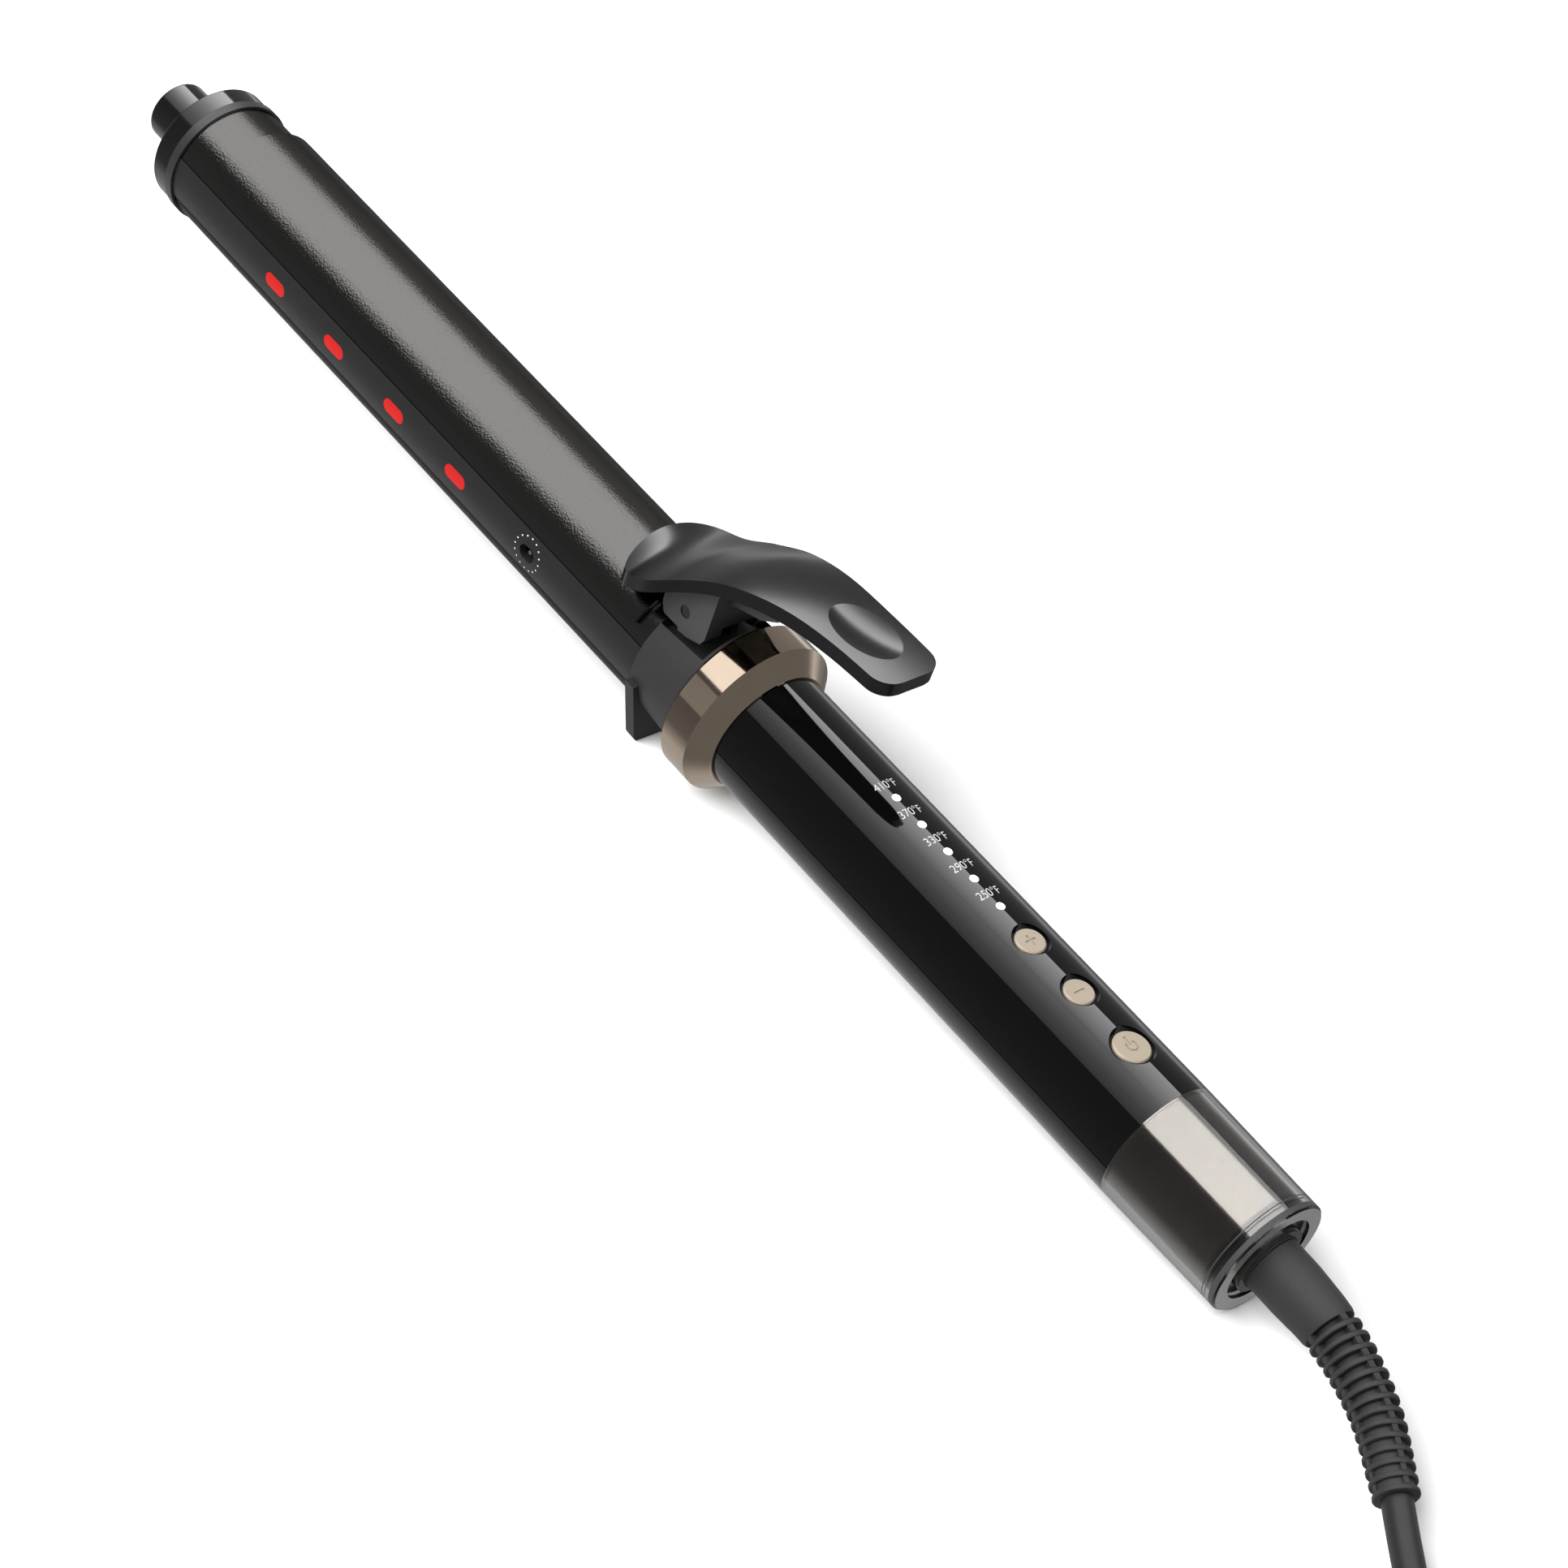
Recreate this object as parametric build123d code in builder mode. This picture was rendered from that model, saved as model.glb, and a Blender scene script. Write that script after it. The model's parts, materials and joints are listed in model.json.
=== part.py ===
"""Curling iron with an infrared strip, spring clamp, digital handle and swivel cord.

Millimetres.  The origin is the centre of the rest foot's flat underside, +Z is up,
+X runs along the iron towards the cord, and the infrared strip faces -Y.  The iron
lies on its foot and on the rim of the handle's end, so its axis slopes down a little
towards the cord.  Every piece is placed from IRON, the plane through that axis:
local x runs from the tip's end face, local z is the lever's side.
"""

import os
from math import atan, cos, degrees, pi, radians, sin, sqrt, tan

from build123d import *

# Lengths along the iron
NUB_LENGTH = 14.8
COLLAR_LENGTH = 5.9
TIP_RING_LENGTH = 2.4
BARREL_LENGTH = 183.4
NECK_LENGTH = 16.2
RING_LENGTH = 12.8
GRIP_LENGTH = 128.5
SLEEVE_LENGTH = 33.6

# Radii and walls
NUB_R = 7.85
COLLAR_R = 16.2
TIP_RING_R = 16.6
BARREL_R = 16.0
BARREL_WALL = 1.0
NECK_REAR_R = 17.3
NECK_BORE_R = 8.5
RING_R = 20.05
HANDLE_R = 14.93
HANDLE_WALL = 2.0
SLEEVE_WALL = 1.93
SLEEVE_TAPER = 0.43
BRONZE_WALL = 0.9
END_RIM = 3.6
END_FLOOR = 2.0
END_CAP_THICKNESS = 2.8
BUSH_BORE_R = 7.0
BUSH_WALL = 1.5
BUSH_LENGTH = 11.0
BUSH_FLANGE = 1.8
BUSH_PROUD = 0.6
COUPLER_HALF = 8.0
COUPLER_WALL = 1.4
CONTACT_THICKNESS = 3.0

# Tip
NUB_EDGE_R = 1.0
COLLAR_EDGE_R = 0.6
SPIGOT_LENGTH = 8.0
SPIGOT_WALL = 2.0
TIP_SCREW_R = 1.5
SCREW_HEAD_R = 3.0
SCREW_HEAD_HEIGHT = 2.0

# Neck and trim ring
NECK_SPIGOT = 7.0
GRIP_SPIGOT = 11.0
RING_FRONT_BEVEL = 0.8
RING_LAND = 8.6
RING_RIM = 0.9
RING_REAR_BEVEL = 0.4

# Clearances
SEAT = 0.05
RUNNING = 0.06
CLAMP_GAP = 0.3
EAR_AIR = 0.4
SHELL_GAP = 0.04
BUTTON_PLAY = 0.12
WELL_MARGIN = 0.88
SCREW_PLAY = 0.02

# Clamp, lever and hinge
CLAMP_THICKNESS = 1.0
CLAMP_HALF_ANGLE = 58.0
CLAMP_FRONT = 12.0
CLAMP_CORNER_R = 4.0
LEVER_FRONT = 16.5
LEVER_REAR = 43.5
LEVER_HALF_WIDTH = 16.2
LEVER_END_HALF_WIDTH = 8.8
LEVER_FRONT_LIFT = 5.0
LEVER_REAR_LIFT = 23.9
LEVER_SKIRT = 3.6
LEVER_WALL = 2.2
LEVER_END_CORNER_R = 5.0
LEVER_FRONT_CORNER_R = 3.2
# Crown line: share of the lever's length, share of its rise, rise of the crown above the edge
LEVER_CROWN = [
    (-0.06, -0.02, 5.0),
    (0.09, 0.05, 5.0),
    (0.24, 0.36, 4.3),
    (0.40, 0.67, 3.0),
    (0.58, 0.87, 1.9),
    (0.79, 0.965, 1.1),
    (1.06, 1.01, 0.7),
]
HINGE_BACK = 4.3
HINGE_LIFT = 2.0
PIN_R = 1.5
EAR_HALF_WIDTH = 10.0
EAR_SLOT_HALF = 5.25
LUG_OUTER = 5.0
LUG_INNER = 2.8
LUG_R = 3.5
LUG_AIR = 0.6
SPRING_WIRE_R = 0.35
SPRING_MEAN_R = 2.4
SPRING_TURNS = 5
POCKET_HALF_WIDTH = 11.2
POCKET_FLOOR = 9.5
POCKET_WALL = 2.0
TONGUE_LENGTH = 10.0
TONGUE_HALF_WIDTH = 6.0
TONGUE_TOP = 2.4
RIVET_R = 1.1
RIVET_HEAD_R = 2.0
RIVET_HEAD = 0.7
RIVET_SETBACKS = (3.0, 7.0)
EAR_FRONT = 7.0
EAR_REAR = 7.6
RIB_LENGTH = 12.0
RIB_ROOM = 8.0

# Rest foot
FOOT_DEPTH = 22.0
FOOT_THICKNESS = 3.0
FOOT_SETBACK = 0.5
FOOT_TOP_HALF_WIDTH = 17.4
FOOT_HALF_WIDTH = 10.8
FOOT_CORNER_R = 4.0
FOOT_ROOT_DEPTH = 2.0

# Infrared strip, its windows and the ion outlet
STRIP_SIDE = 180.0
STRIP_HALF_ANGLE = 20.0
STRIP_FLANGE = 1.1
STRIP_FLANGE_ANGLE = 5.0
WINDOW_COUNT = 4
WINDOW_FIRST = 43.5
WINDOW_PITCH = 24.3
WINDOW_LENGTH = 7.5
WINDOW_WIDTH = 3.5
ION_OUTLET = 144.2
ION_OUTLET_LENGTH = 5.0
ION_OUTLET_WIDTH = 3.6
LED_BOARD_THICKNESS = 1.0
LED_BOARD_HALF_WIDTH = 4.5
LED_BOARD_POST_R = 1.2
LED_BOARD_POST_INSET = 1.8
LED_HEIGHT = 1.0
LED_AIR = 0.6
NEEDLE_R = 0.5
NEEDLE_BASE_R = 1.3

# Heater: a flat element pressed between two aluminium spreaders
HEATER_START = 40.0
HEATER_LENGTH = 108.0
HEATER_HALF_THICKNESS = 1.25
HEATER_INSET = 4.0
SPREADER_WALL = 0.8
SENSOR_SIZE = (4.0, 2.6, 1.6)
SENSOR_SETBACK = 50.0
FUSE_R = 1.8
FUSE_LENGTH = 10.0
FUSE_SETBACK = 66.0
WIRE_R = 0.9
WIRE_OFFSET = 2.4

# Controls, measured back from the handle's rear joint
DOT_COUNT = 5
DOT_FIRST = 90.8
DOT_PITCH = 8.55
DOT_R = 1.0
PLUS_BACK = 46.6
MINUS_BACK = 31.2
POWER_BACK = 14.8
STEP_BUTTON_R = 3.5
POWER_BUTTON_R = 4.25
BUTTON_SINK = 0.55
BUTTON_TRAVEL = 0.8
BUTTON_FLANGE = 0.7
WELL_DEPTH = 1.3
BOARD_HALF_WIDTH = 8.0
BOARD_THICKNESS = 1.6
BOARD_TOP = 9.2
BOARD_LEAD = 11.0
BOARD_SETBACK = 9.0
BOARD_SCREW_R = 0.8
BOARD_SCREW_HEAD_R = 1.5
BOARD_SCREW_OFFSET = 6.2
GRIP_SCREW_R = 1.3
GRIP_SCREW_HEAD_R = 2.4
GRIP_SCREW_HEAD = 1.8
GRIP_SCREW_SETBACK = 9.0
GRIP_SCREW_OFFSET = 6.0
BOSS_WALL = 1.1
LENS_PROUD = 0.02
BUTTON_EDGE = 0.3
ICON_DEPTH = 0.25
ICON_STROKE = 0.55
ICON_SIZE = 2.9
POWER_ICON_R = 1.5
SWITCH_HALF = 2.4
SWITCH_STEM_R = 1.1
SWITCH_STEM = 0.25
ION_MODULE = (26.0, 15.0, 9.0)
CAPACITOR_R = 4.0
CAPACITOR_LENGTH = 14.0
TERMINAL = (8.0, 11.0, 7.0)

# Strain relief and cord
RELIEF_BASE_R = 6.7
RELIEF_WAIST_R = 6.1
RELIEF_END_R = 4.8
RELIEF_KEEPER = 1.6
RELIEF_CORE_WALL = 0.8
BOOT_SHARE = 0.32
RIB_COUNT = 14
RIB_WIDTH = 1.6
CORD_R = 3.25
# The cord from the relief to the hank, then from the hank to the plug
CORD_LEAD = [
    (243.0, -14.4, 7.4),
    (256.0, -23.6, 4.9),
    (270.5, -32.6, 3.6),
    (288.0, -39.6, 3.3),
    (305.5, -42.0, 3.25),
]
CORD_TAIL = [
    (323.5, -36.4, 20.4),
    (336.0, -35.4, 23.6),
    (349.5, -34.6, 26.2),
    (362.0, -34.2, 27.1),
]
# The put-away cord: a hank of long turns lying along X
HANK_NEAR = (322.0, -14.0)
HANK_RUN = 62.0
HANK_INNER_R = 21.5
HANK_COLUMNS = 2
HANK_LAYERS = 3
TIE_WALL = 0.9
TIE_WIDTH = 8.0
TIE_SETBACK = 27.0
PLUG_LENGTH = 32.0
PLUG_WIDTH = 22.0
PLUG_THICKNESS = 15.0
PLUG_CORNER_R = 5.0
BLADE_LENGTH = 16.0
BLADE_GAP = 12.7
BLADE_SECTION = (1.5, 6.4)

# Stations along the iron
X_COLLAR = NUB_LENGTH
X_TIP_RING = X_COLLAR + COLLAR_LENGTH
X_BARREL = X_TIP_RING + TIP_RING_LENGTH
X_NECK = X_BARREL + BARREL_LENGTH
X_RING = X_NECK + NECK_LENGTH
X_GRIP = X_RING + RING_LENGTH
X_SLEEVE = X_GRIP + GRIP_LENGTH
X_END = X_SLEEVE + SLEEVE_LENGTH
X_FOOT = X_NECK + FOOT_SETBACK + FOOT_THICKNESS / 2
X_PIN = X_NECK + HINGE_BACK

# Derived radii and heights
BARREL_BORE_R = BARREL_R - BARREL_WALL
CLAMP_BORE_R = BARREL_R + CLAMP_GAP
CLAMP_R = CLAMP_BORE_R + CLAMP_THICKNESS
HANDLE_BORE_R = HANDLE_R - HANDLE_WALL
SLEEVE_BORE_R = HANDLE_R - SLEEVE_WALL
SLEEVE_END_R = HANDLE_R - SLEEVE_TAPER
FOOT_ROOT_R = BARREL_R - FOOT_ROOT_DEPTH
BRONZE_R = SLEEVE_BORE_R - 2 * SEAT
BRONZE_BORE_R = BRONZE_R - BRONZE_WALL
BUSH_R = BUSH_BORE_R + BUSH_WALL
Z_PIN = BARREL_R + HINGE_LIFT
Z_LEVER_FRONT = CLAMP_R + LEVER_FRONT_LIFT
Z_LEVER_REAR = RING_R + LEVER_REAR_LIFT
X_LEVER_FRONT = X_NECK - LEVER_FRONT
X_LEVER_REAR = X_RING + LEVER_REAR

# The axis slopes so that the foot and the handle's end rim both touch the floor
TILT = atan((FOOT_DEPTH - SLEEVE_END_R) / (X_END - X_FOOT))
IRON = Plane(
    origin=(
        FOOT_DEPTH * sin(TILT) - X_FOOT * cos(TILT),
        0,
        FOOT_DEPTH * cos(TILT) + X_FOOT * sin(TILT),
    ),
    x_dir=(cos(TILT), 0, -sin(TILT)),
    z_dir=(sin(TILT), 0, cos(TILT)),
)
SIDE = Plane(origin=IRON.origin, x_dir=IRON.x_dir, z_dir=(0, -1, 0))
IRON_AXIS = Axis(IRON.origin, IRON.x_dir)


def station(x):
    """Plane square to the iron at x; its own x is +Y and its y is the lever's side."""
    return Plane(origin=IRON.from_local_coords((x, 0, 0)), x_dir=(0, 1, 0), z_dir=IRON.x_dir)


def level(z):
    """Plane along the iron at height z above its axis."""
    return IRON.offset(z)


def point(x, y, z):
    """A point given along, across and above the iron's axis."""
    return IRON.from_local_coords(Vector(x, y, z))


def turned(*points, mode=Mode.ADD):
    """Turn a closed outline of (x, radius) points about the iron's axis."""
    with BuildSketch(SIDE) as outline:
        with BuildLine():
            Polyline(*points, close=True)
        make_face()
    revolve(outline.sketch, axis=IRON_AXIS, mode=mode)


def tube(start, end, inner, outer, mode=Mode.ADD):
    """A straight tube about the iron's axis."""
    with BuildSketch(station(start)) as ring:
        Circle(outer)
        Circle(inner, mode=Mode.SUBTRACT)
    extrude(ring.sketch, amount=end - start, mode=mode)


def rod(start, end, radius, mode=Mode.ADD):
    """A straight rod about the iron's axis."""
    with BuildSketch(station(start)) as disc:
        Circle(radius)
    extrude(disc.sketch, amount=end - start, mode=mode)


def band(start, end, inner, outer, middle, half, mode=Mode.ADD):
    """A curved strip of the tube from inner to outer, half degrees each side of middle."""
    with BuildSketch(station(start)) as sector:
        with BuildLine():
            near = CenterArc((0, 0), inner, middle - half, 2 * half)
            far = CenterArc((0, 0), outer, middle - half, 2 * half)
            Line(near @ 0, far @ 0)
            Line(near @ 1, far @ 1)
        make_face()
    extrude(sector.sketch, amount=end - start, mode=mode)


def block(x, y, z, mode=Mode.ADD):
    """A box given by its (low, high) limits along, across and above the axis."""
    with BuildSketch(level(z[0])) as base:
        with Locations(((x[0] + x[1]) / 2, (y[0] + y[1]) / 2)):
            Rectangle(x[1] - x[0], y[1] - y[0])
    extrude(base.sketch, amount=z[1] - z[0], mode=mode)


def post(x, y, z, radius, mode=Mode.ADD):
    """A round post square to the axis, between the two heights in z."""
    with BuildSketch(level(z[0])) as foot:
        with Locations((x, y)):
            Circle(radius)
    extrude(foot.sketch, amount=z[1] - z[0], mode=mode)


def cut_side(points, half_width, mode=Mode.ADD):
    """A side outline of (x, z) points, extruded to half_width each side of the iron."""
    with BuildSketch(SIDE) as outline:
        with BuildLine():
            Polyline(*points, close=True)
        make_face()
    extrude(outline.sketch, amount=half_width, both=True, mode=mode)


def pin_across(x, z, y, radius, mode=Mode.ADD):
    """A round pin across the iron between the two y limits."""
    with BuildSketch(SIDE.offset(-y[1])) as disc:
        with Locations((x, z)):
            Circle(radius)
    extrude(disc.sketch, amount=y[1] - y[0], mode=mode)


def keep(part, name):
    """Name a finished sub-part and write it."""
    part.label = name
    export_step(part, f"parts/{name}.step")


os.makedirs("parts", exist_ok=True)

# Tip: the nub and the collar are one moulding, screwed to the ring from inside
with BuildPart() as cool_tip:
    rod(0, X_COLLAR, NUB_R)
    fillet(cool_tip.edges().sort_by(IRON_AXIS)[0], NUB_EDGE_R)
    rod(X_COLLAR, X_TIP_RING, COLLAR_R)
    rims = cool_tip.edges().filter_by(GeomType.CIRCLE).sort_by(SortBy.RADIUS)[-2:]
    fillet(rims.sort_by(IRON_AXIS)[0], COLLAR_EDGE_R)
    rod(X_COLLAR - SPIGOT_LENGTH, X_TIP_RING, TIP_SCREW_R + SEAT, mode=Mode.SUBTRACT)
keep(cool_tip.part, "cool_tip")

with BuildPart() as tip_ring:
    rod(X_TIP_RING, X_BARREL, TIP_RING_R)
    tube(X_BARREL, X_BARREL + SPIGOT_LENGTH, BARREL_BORE_R - SPIGOT_WALL, BARREL_BORE_R - SEAT)
    rod(X_TIP_RING, X_BARREL, TIP_SCREW_R + SEAT, mode=Mode.SUBTRACT)
keep(tip_ring.part, "tip_ring")

with BuildPart() as tip_screw:
    rod(X_COLLAR - SPIGOT_LENGTH + 1.0, X_BARREL, TIP_SCREW_R)
    rod(X_BARREL, X_BARREL + SCREW_HEAD_HEIGHT, SCREW_HEAD_R)
keep(tip_screw.part, "tip_screw")

# Barrel: an aluminium tube, open along the infrared strip
with BuildPart() as barrel_tube:
    tube(X_BARREL, X_NECK, BARREL_BORE_R, BARREL_R)
    slot_r = (BARREL_BORE_R - BARREL_WALL, BARREL_R + BARREL_WALL)
    band(X_BARREL, X_NECK, *slot_r, STRIP_SIDE, STRIP_HALF_ANGLE, mode=Mode.SUBTRACT)
keep(barrel_tube.part, "barrel_tube")

# Infrared strip: a plastic insert whose inner flange bears on the barrel's bore
strip_edge = degrees(SEAT / BARREL_R)
strip_half = STRIP_HALF_ANGLE - strip_edge
flange_half = STRIP_HALF_ANGLE + STRIP_FLANGE_ANGLE
flange_start = X_BARREL + SPIGOT_LENGTH + SEAT
flange_end = X_NECK - NECK_SPIGOT - SEAT
window_stations = [X_BARREL + WINDOW_FIRST + n * WINDOW_PITCH for n in range(WINDOW_COUNT)]
outlet_station = X_BARREL + ION_OUTLET
with BuildPart() as infrared_strip:
    band(X_BARREL + SEAT, X_NECK - SEAT, BARREL_BORE_R, BARREL_R, STRIP_SIDE, strip_half)
    band(flange_start, flange_end, BARREL_BORE_R - STRIP_FLANGE, BARREL_BORE_R - SEAT, STRIP_SIDE, flange_half)
    band(flange_start, flange_end, BARREL_BORE_R - SEAT, BARREL_BORE_R, STRIP_SIDE, strip_half)
    with BuildSketch(SIDE) as openings:
        with Locations(*[(x, 0) for x in window_stations]):
            SlotOverall(WINDOW_LENGTH + 2 * SEAT, WINDOW_WIDTH + 2 * SEAT)
        with Locations((outlet_station, 0)):
            SlotOverall(ION_OUTLET_LENGTH, ION_OUTLET_WIDTH)
    extrude(openings.sketch, amount=BARREL_R + BARREL_WALL, mode=Mode.SUBTRACT)
keep(infrared_strip.part, "infrared_strip")

led_board_face = BARREL_BORE_R - STRIP_FLANGE - LED_HEIGHT - LED_AIR
with BuildPart() as infrared_lenses:
    with BuildSketch(SIDE.offset(led_board_face + LED_HEIGHT + SEAT)) as windows:
        with Locations(*[(x, 0) for x in window_stations]):
            SlotOverall(WINDOW_LENGTH, WINDOW_WIDTH)
    extrude(windows.sketch, amount=BARREL_R)
    rod(X_BARREL, X_NECK, BARREL_R, mode=Mode.INTERSECT)
keep(infrared_lenses.part, "infrared_lenses")

led_board_x = (window_stations[0] - WINDOW_LENGTH, outlet_station + 1.6 * ION_OUTLET_LENGTH)
led_post_end = -BARREL_BORE_R + STRIP_FLANGE + 2 * SEAT
with BuildPart() as led_board:
    block(
        led_board_x,
        (-led_board_face, -led_board_face + LED_BOARD_THICKNESS),
        (-LED_BOARD_HALF_WIDTH, LED_BOARD_HALF_WIDTH),
    )
    # Posts on the board's ends bear on the strip
    for x in (led_board_x[0] + LED_BOARD_POST_INSET, led_board_x[1] - LED_BOARD_POST_INSET):
        pin_across(x, 0, (led_post_end, -led_board_face), LED_BOARD_POST_R)
keep(led_board.part, "led_board")

with BuildPart() as infrared_leds:
    for x in window_stations:
        block((x - 1.6, x + 1.6), (-led_board_face - LED_HEIGHT, -led_board_face), (-1.2, 1.2))
keep(infrared_leds.part, "infrared_leds")

with BuildPart() as ion_needle:
    pin_across(outlet_station, 0, (-BARREL_BORE_R, -led_board_face), NEEDLE_R)
    pin_across(outlet_station, 0, (-led_board_face - LED_HEIGHT, -led_board_face), NEEDLE_BASE_R)
keep(ion_needle.part, "ion_needle")

# Heater, inside the barrel
heater_start = X_BARREL + HEATER_START
spreader_cut = led_board_face - LED_BOARD_THICKNESS - LED_HEIGHT


def spreader(side):
    """The spreader above (side 1) or below (side -1) the heater, a hollow segment of the bore."""
    with BuildSketch(station(heater_start)) as outline:
        Circle(BARREL_BORE_R - SEAT)
        with Locations((-spreader_cut - BARREL_R, 0)):
            Rectangle(2 * BARREL_R, 3 * BARREL_R, mode=Mode.SUBTRACT)
        with Locations((0, side * (HEATER_HALF_THICKNESS - BARREL_R))):
            Rectangle(4 * BARREL_R, 2 * BARREL_R, mode=Mode.SUBTRACT)
    with BuildSketch(station(heater_start)) as hollow:
        add(outline.sketch_local)
        offset(amount=-SPREADER_WALL, mode=Mode.REPLACE)
    extrude(outline.sketch, amount=HEATER_LENGTH)
    extrude(hollow.sketch, amount=HEATER_LENGTH, mode=Mode.SUBTRACT)


with BuildPart() as heat_spreader_upper:
    spreader(1)
keep(heat_spreader_upper.part, "heat_spreader_upper")

with BuildPart() as heat_spreader_lower:
    spreader(-1)
keep(heat_spreader_lower.part, "heat_spreader_lower")

with BuildPart() as heater_plate:
    block(
        (heater_start + HEATER_INSET, heater_start + HEATER_LENGTH - HEATER_INSET),
        (-0.7 * spreader_cut, 0.9 * spreader_cut),
        (-HEATER_HALF_THICKNESS, HEATER_HALF_THICKNESS),
    )
keep(heater_plate.part, "heater_plate")

spreader_web = HEATER_HALF_THICKNESS + SPREADER_WALL
sensor_x = heater_start + SENSOR_SETBACK
with BuildPart() as temperature_sensor:
    block(
        (sensor_x, sensor_x + SENSOR_SIZE[0]),
        (SENSOR_SIZE[2], SENSOR_SIZE[2] + SENSOR_SIZE[1]),
        (spreader_web, spreader_web + SENSOR_SIZE[2]),
    )
keep(temperature_sensor.part, "temperature_sensor")

with BuildPart() as thermal_fuse:
    with BuildSketch(station(heater_start + FUSE_SETBACK)) as fuse_end:
        with Locations((FUSE_R, -spreader_web - FUSE_R)):
            Circle(FUSE_R)
    extrude(fuse_end.sketch, amount=FUSE_LENGTH)
keep(thermal_fuse.part, "thermal_fuse")

# Neck: a heat-proof moulding between the barrel and the grip, with the hinge pocket on top
foot_start = X_FOOT - FOOT_THICKNESS / 2
foot_end = X_FOOT + FOOT_THICKNESS / 2


def foot_outline(margin):
    """The foot's face: a tapered plate below the axis, rounded at its lower corners."""
    with BuildSketch(station(foot_start - margin)) as face:
        with BuildLine():
            Polyline(
                (-FOOT_TOP_HALF_WIDTH, -3.0 + margin),
                (-FOOT_HALF_WIDTH, -FOOT_DEPTH - 1.0),
                (FOOT_HALF_WIDTH, -FOOT_DEPTH - 1.0),
                (FOOT_TOP_HALF_WIDTH, -3.0 + margin),
                close=True,
            )
        make_face()
        fillet(face.vertices().group_by(Axis.Y)[0], FOOT_CORNER_R)
        Circle(FOOT_ROOT_R - margin, mode=Mode.SUBTRACT)
    return face


with BuildPart() as neck_shroud:
    with BuildSketch(SIDE) as section:
        with BuildLine():
            flare = Spline(
                (X_NECK, BARREL_R),
                (X_NECK + 0.45 * NECK_LENGTH, BARREL_R + 0.3 * (NECK_REAR_R - BARREL_R)),
                (X_RING, NECK_REAR_R),
                tangents=((1, 0), (1, 0.25)),
            )
            Polyline(
                flare @ 1,
                (X_RING, HANDLE_BORE_R - SEAT),
                (X_RING + GRIP_SPIGOT, HANDLE_BORE_R - SEAT),
                (X_RING + GRIP_SPIGOT, NECK_BORE_R),
                (X_NECK - NECK_SPIGOT, NECK_BORE_R),
                (X_NECK - NECK_SPIGOT, BARREL_BORE_R - SEAT),
                (X_NECK, BARREL_BORE_R - SEAT),
                flare @ 0,
            )
        make_face()
    revolve(section.sketch, axis=IRON_AXIS)
    pocket_end = X_RING - POCKET_WALL
    pocket_x = (X_NECK, pocket_end)
    block(pocket_x, (-POCKET_HALF_WIDTH, POCKET_HALF_WIDTH), (POCKET_FLOOR, 2 * NECK_REAR_R), mode=Mode.SUBTRACT)
    for side in (-1, 1):
        lug_y = sorted((side * LUG_INNER, side * LUG_OUTER))
        pin_across(X_PIN, Z_PIN, lug_y, LUG_R)
        block((X_PIN - LUG_R, X_PIN + LUG_R), lug_y, (POCKET_FLOOR, Z_PIN))
    pin_across(X_PIN, Z_PIN, (-LUG_OUTER, LUG_OUTER), PIN_R, mode=Mode.SUBTRACT)
    groove = foot_outline(SEAT)
    extrude(groove.sketch, amount=FOOT_THICKNESS + 2 * SEAT, mode=Mode.SUBTRACT)
keep(neck_shroud.part, "neck_shroud")

with BuildPart() as rest_foot:
    foot_face = foot_outline(0)
    extrude(foot_face.sketch, amount=FOOT_THICKNESS)
    split(bisect_by=Plane.XY, keep=Keep.TOP)
keep(rest_foot.part, "rest_foot")

ring_rim_r = HANDLE_R + RING_RIM
with BuildPart() as trim_ring:
    turned(
        (X_RING, HANDLE_R + SEAT),
        (X_RING, RING_R - RING_FRONT_BEVEL),
        (X_RING + RING_FRONT_BEVEL, RING_R),
        (X_RING + RING_LAND, RING_R),
        (X_GRIP - RING_REAR_BEVEL, ring_rim_r),
        (X_GRIP, ring_rim_r - RING_REAR_BEVEL),
        (X_GRIP, HANDLE_R + SEAT),
    )
keep(trim_ring.part, "trim_ring")

# Hinge
with BuildPart() as hinge_pin:
    pin_across(X_PIN, Z_PIN, (-EAR_HALF_WIDTH + 0.2, EAR_HALF_WIDTH - 0.2), PIN_R)
keep(hinge_pin.part, "hinge_pin")

spring_width = 2 * (LUG_INNER - 0.45)
spring_pitch = (spring_width - 2 * SPRING_WIRE_R) / SPRING_TURNS
spring_start = point(X_PIN, spring_width / 2 - SPRING_WIRE_R, Z_PIN)
spring_wire = Helix(
    spring_pitch,
    spring_width - 2 * SPRING_WIRE_R,
    SPRING_MEAN_R,
    center=tuple(spring_start),
    direction=(0, -1, 0),
)
with BuildPart() as torsion_spring:
    with BuildSketch(Plane(origin=spring_wire @ 0, z_dir=spring_wire % 0)) as wire_end:
        Circle(SPRING_WIRE_R)
    sweep(wire_end.sketch, path=spring_wire)
keep(torsion_spring.part, "torsion_spring")


# Thumb lever: a crowned shell that rises from the clamp to the thumb rest
def lever_body(top_drop, depth):
    """Loft between the crown line lowered by top_drop and the same line depth further down."""
    half = LEVER_HALF_WIDTH + 2.0
    sections = []
    for along, rise, crown in LEVER_CROWN:
        x = X_LEVER_FRONT + along * (X_LEVER_REAR - X_LEVER_FRONT)
        z = Z_LEVER_FRONT + rise * (Z_LEVER_REAR - Z_LEVER_FRONT) - top_drop
        with BuildSketch(station(x)) as section:
            with BuildLine():
                top = ThreePointArc((-half, z - crown), (0, z), (half, z - crown))
                low = ThreePointArc((-half, z - crown - depth), (0, z - depth), (half, z - crown - depth))
                Line(top @ 0, low @ 0)
                Line(top @ 1, low @ 1)
            make_face()
        sections.append(section.sketch)
    loft(sections)


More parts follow.
